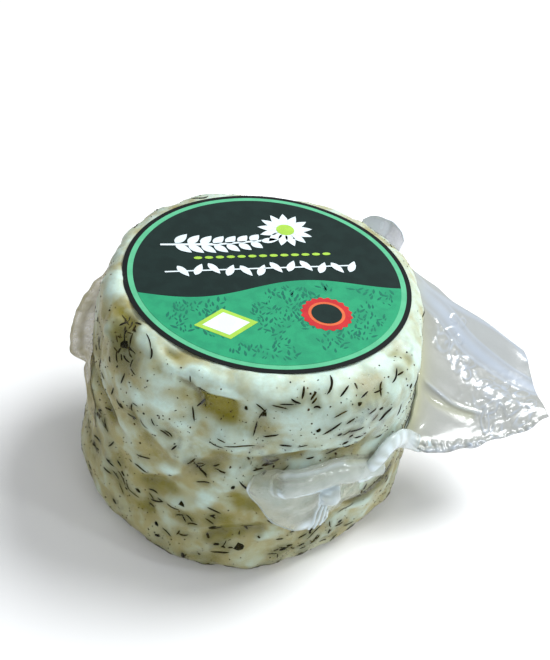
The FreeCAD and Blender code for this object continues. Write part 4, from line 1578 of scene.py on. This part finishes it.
def white_motifs():
    """Outlines of the white print: a daisy's petals, a leafy sprig and a garland of leaves."""
    shapes = []
    for k in range(13):
        petal = turned(leaf_outline(6.0, 2.5) + np.array([1.6, 0.0]), 360.0 * k / 13)
        shapes.append(petal + np.array(DAISY))
    for k in range(7):
        x, y = -22.0 + 3.4 * k, 14.2 + 0.10 * (k - 3) ** 2
        for side in (1, -1):
            shapes.append(turned(leaf_outline(5.4 - 0.25 * k, 2.5), side * 46, x, y + side * 0.3))
    shapes.append(turned(leaf_outline(5.0, 2.3), 6, 1.2, 15.1))
    shapes.append([(-26.0, 14.6), (-12.0, 13.8), (1.5, 15.0), (1.5, 15.7), (-12.0, 14.5), (-26.0, 15.3)])
    for k in range(12):
        x, y = -23.0 + 4.1 * k, 3.0 + 0.8 * math.sin(k * 1.1)
        side = 1 if k % 2 else -1
        shapes.append(turned(leaf_outline(5.2, 2.1), side * 62, x, y - side * 2.4))
    shapes.append([(-26.5, 2.8), (0.0, 2.9), (24.5, 2.8), (24.5, 3.3), (0.0, 3.4), (-26.5, 3.3)])
    return [slanted(shape) for shape in shapes]


def make_label():
    """The round label: a dark rim, a pale ring, a dark field over a green meadow, and the print."""
    sizes = bpy.context.scene.label_settings
    outer = 500 * (LABEL_HIGH.x - LABEL_LOW.x)
    ring = outer - 1000 * sizes.rim_width
    field = ring - 1000 * sizes.ring_width
    inks = {name: ink_material("label " + name, *colours) for name, colours in INKS.items()}
    heart, badge, seal = (slanted([place])[0] for place in (DAISY, BADGE, SEAL))

    pieces = []
    discs = (
        ("label_paper", outer, "black"),
        ("label_ring", ring, "mint"),
        ("label_field", field, "charcoal green"),
    )
    for level, (name, radius, ink) in enumerate(discs):
        pieces.append(inlay(name, round_outline(radius, 160), level, inks[ink], rings=30, core=(0, 0)))
    meadow = slanted(below_line(field, meadow_edge))
    core = slanted([(0, -20.0)])[0]
    pieces.append(inlay("label_meadow", meadow, 3, inks["meadow"], rings=24, core=core))
    blades = meadow_blades(field, np.random.default_rng(SEED + 5))
    pieces.append(joined_inlays("label_blades", blades, 4, inks["leaf shade"]))

    lozenge = np.array([(0, 7.4), (5.4, 0), (0, -7.4), (-5.4, 0)])
    limes = [turned(lozenge, LABEL_SLANT + 90, *badge, size=1.08)]
    for k in range(13):
        dash = round_outline(0.75, 12) * np.array([1.5, 0.8])
        limes.append(turned(dash, LABEL_SLANT, *slanted([(-17.0 + 2.9 * k, 8.6)])[0]))
    whites = white_motifs()
    whites.append(turned(lozenge, LABEL_SLANT + 90, *badge, size=0.80))
    pieces.append(joined_inlays("label_lime_print", limes, 5, inks["lime"]))
    pieces.append(joined_inlays("label_white_print", whites, 6, inks["white"]))
    for name, outline, level, ink, core in (
        ("label_daisy_heart", round_outline(2.5, 40), 7, "lime", heart),
        ("label_seal", round_outline(6.4, 120, 20, 0.28), 5, "red", seal),
        ("label_seal_ring", round_outline(4.7, 60), 6, "orange", seal),
        ("label_seal_middle", round_outline(3.9, 60), 7, "charcoal green", seal),
    ):
        pieces.append(inlay(name, outline + core, level, inks[ink], rings=3, core=core))
    for piece in pieces:
        face_out(piece)
        piece.data.set_sharp_from_angle(angle=math.radians(40))
        belongs(piece, "label", "label")


# ---------------------------------------------------------------- operators


class CHEESE_OT_wheel(bpy.types.Operator):
    """Make the curd and the herbs on it"""

    bl_idname = "cheese.wheel"
    bl_label = "Make the cheese"

    def execute(self, context):
        surface = curd_surface()
        make_cheese(surface, make_herbs(surface))
        return {"FINISHED"}


# The second corner tint and the first laid tint are pale blue fold tints: painted glints on the corner and
# laid film.
CORNER_TINTS = ((0.58, 0.58, 0.65), (0.66, 0.72, 0.80))
LAID_TINTS = ((0.63, 0.74, 0.79), (0.52, 0.54, 0.38))
RIM_FOLDS = (0.48, 0.45, 0.29)


class CHEESE_OT_film(bpy.types.Operator):
    """Make the film: its clinging skin, tail, rim, corner tab, folded flap and rolled band"""

    bl_idname = "cheese.film"
    bl_label = "Make the film"

    def execute(self, context):
        tints = context.scene.film_settings
        clear = tuple(0.45 * part for part in tints.film_colour)
        glint, cream = tints.glint_colour, tints.cream_colour
        skin = film_material("clinging film", (0.0, 0.45), (clear, glint, cream), 0.02, 0.06, 0.2)
        loose = film_material("loose film", (0.80, 0.97), (tints.film_colour, glint, cream), 0.15, 0.3, 0.26)
        corner = film_material("corner film", (0.45, 0.90), (*CORNER_TINTS, cream), 0.15, 0.2, 0.22)
        laid = film_material("laid film", (0.12, 0.80), (tints.laid_colour, *LAID_TINTS), 0.1, 0.3, 0.2)
        rim_tints = (tints.rim_colour, RIM_FOLDS, tints.rim_colour)
        rim = film_material("rim film", (0.42, 0.88), rim_tints, 0.3, 0.15, 0.3)
        surface = curd_surface()
        make_skin(skin)
        make_tail(loose, surface)
        make_fin(rim, surface)
        make_ear(corner, surface)
        make_flap(laid, surface)
        make_ribbon(laid, surface)
        return {"FINISHED"}


class CHEESE_OT_label(bpy.types.Operator):
    """Make the printed label"""

    bl_idname = "cheese.label"
    bl_label = "Make the label"

    def execute(self, context):
        make_label()
        return {"FINISHED"}


# What the camera aims at, and its ways to the right and ahead.
CAMERA_AIM = (0.00385, 0.0, 0.0529)
CAMERA_RIGHT = (0.9896, 0.0809, 0.1193)
CAMERA_AHEAD = (0.0124, 0.7766, -0.6298)
# The lights: place, size, power and colour.
LIGHTS = {
    "key light": ((0.30, 0.16, 0.62), 0.40, 5.9, (0.96, 0.98, 1.0)),
    "front light": ((0.30, -0.6, 0.5), 0.4, 0.8, (0.98, 0.98, 1.0)),
    "left glint": ((-0.16, -0.42, 0.50), 0.07, 0.35, (0.92, 0.97, 1.0)),
    "right glint": ((0.42, -0.20, 0.42), 0.06, 0.35, (0.92, 0.97, 1.0)),
}


def area_light(name, place, size, power, colour):
    """A round light that faces what the camera aims at."""
    lamp = bpy.data.lights.new(name, "AREA")
    lamp.shape = "DISK"
    lamp.size = size
    lamp.energy = power
    lamp.color = colour
    stand = bpy.data.objects.new(name, lamp)
    stand.location = place
    stand.rotation_euler = (Vector(CAMERA_AIM) - Vector(place)).to_track_quat("-Z", "Y").to_euler()
    bpy.context.scene.collection.objects.link(stand)


class CHEESE_OT_stage(bpy.types.Operator):
    """Make the camera, the lights and the floor"""

    bl_idname = "cheese.stage"
    bl_label = "Make the stage"

    def execute(self, context):
        scene = context.scene
        sizes = scene.stage_settings
        aim = Vector(CAMERA_AIM)
        right = Vector(CAMERA_RIGHT).normalized()
        forward = Vector(CAMERA_AHEAD).normalized()
        right = (right - forward * right.dot(forward)).normalized()
        up = right.cross(forward)
        lens = bpy.data.cameras.new("camera")
        lens.lens = sizes.camera_lens
        lens.sensor_fit = "AUTO"
        lens.sensor_width = 36.0
        lens.clip_start = 0.01
        camera = bpy.data.objects.new("camera", lens)
        turn = Matrix((right, up, -forward)).transposed().to_4x4()
        camera.matrix_world = Matrix.Translation(aim - forward * sizes.camera_distance) @ turn
        scene.collection.objects.link(camera)
        scene.camera = camera

        floor_mesh = bpy.data.meshes.new("floor")
        floor_mesh.from_pydata([(-3, -3, 0), (3, -3, 0), (3, 3, 0), (-3, 3, 0)], [], [(0, 1, 2, 3)])
        floor = bpy.data.objects.new("floor", floor_mesh)
        scene.collection.objects.link(floor)
        paper, _, shader = new_material("pale floor")
        shader.inputs["Base Color"].default_value = (0.93, 0.93, 0.93, 1)
        shader.inputs["Roughness"].default_value = 0.9
        floor_mesh.materials.append(paper)

        world = bpy.data.worlds.new("studio")
        world.use_nodes = True
        sky = world.node_tree.nodes["Background"]
        sky.inputs["Color"].default_value = (0.95, 0.97, 1.0, 1)
        sky.inputs["Strength"].default_value = 0.42
        scene.world = world
        for name, light in LIGHTS.items():
            area_light(name, *light)
        scene.view_settings.view_transform = "Standard"
        return {"FINISHED"}


class CHEESE_PT_panel(bpy.types.Panel):
    """Lists the operators that make the pack"""

    bl_idname = "CHEESE_PT_panel"
    bl_label = "Vacuum packed cheese"
    bl_space_type = "VIEW_3D"
    bl_region_type = "UI"
    bl_category = "Cheese"

    def draw(self, context):
        for step in STEPS:
            self.layout.operator(step.bl_idname)
        for name, kind in SETTINGS:
            for key in kind.__annotations__:
                self.layout.prop(getattr(context.scene, name), key)


STEPS = (CHEESE_OT_stage, CHEESE_OT_wheel, CHEESE_OT_film, CHEESE_OT_label)
SETTINGS = (
    ("cheese_settings", CheeseSettings),
    ("herb_settings", HerbSettings),
    ("film_settings", FilmSettings),
    ("label_settings", LabelSettings),
    ("stage_settings", StageSettings),
)


def register():
    for name, kind in SETTINGS:
        bpy.utils.register_class(kind)
        setattr(bpy.types.Scene, name, bpy.props.PointerProperty(type=kind))
    for step in (*STEPS, CHEESE_PT_panel):
        bpy.utils.register_class(step)


def unregister():
    for step in reversed((*STEPS, CHEESE_PT_panel)):
        bpy.utils.unregister_class(step)
    for name, kind in reversed(SETTINGS):
        delattr(bpy.types.Scene, name)
        bpy.utils.unregister_class(kind)


def main():
    register()
    bpy.ops.cheese.stage()
    bpy.ops.cheese.wheel()
    bpy.ops.cheese.film()
    bpy.ops.cheese.label()


if __name__ == "__main__":
    main()
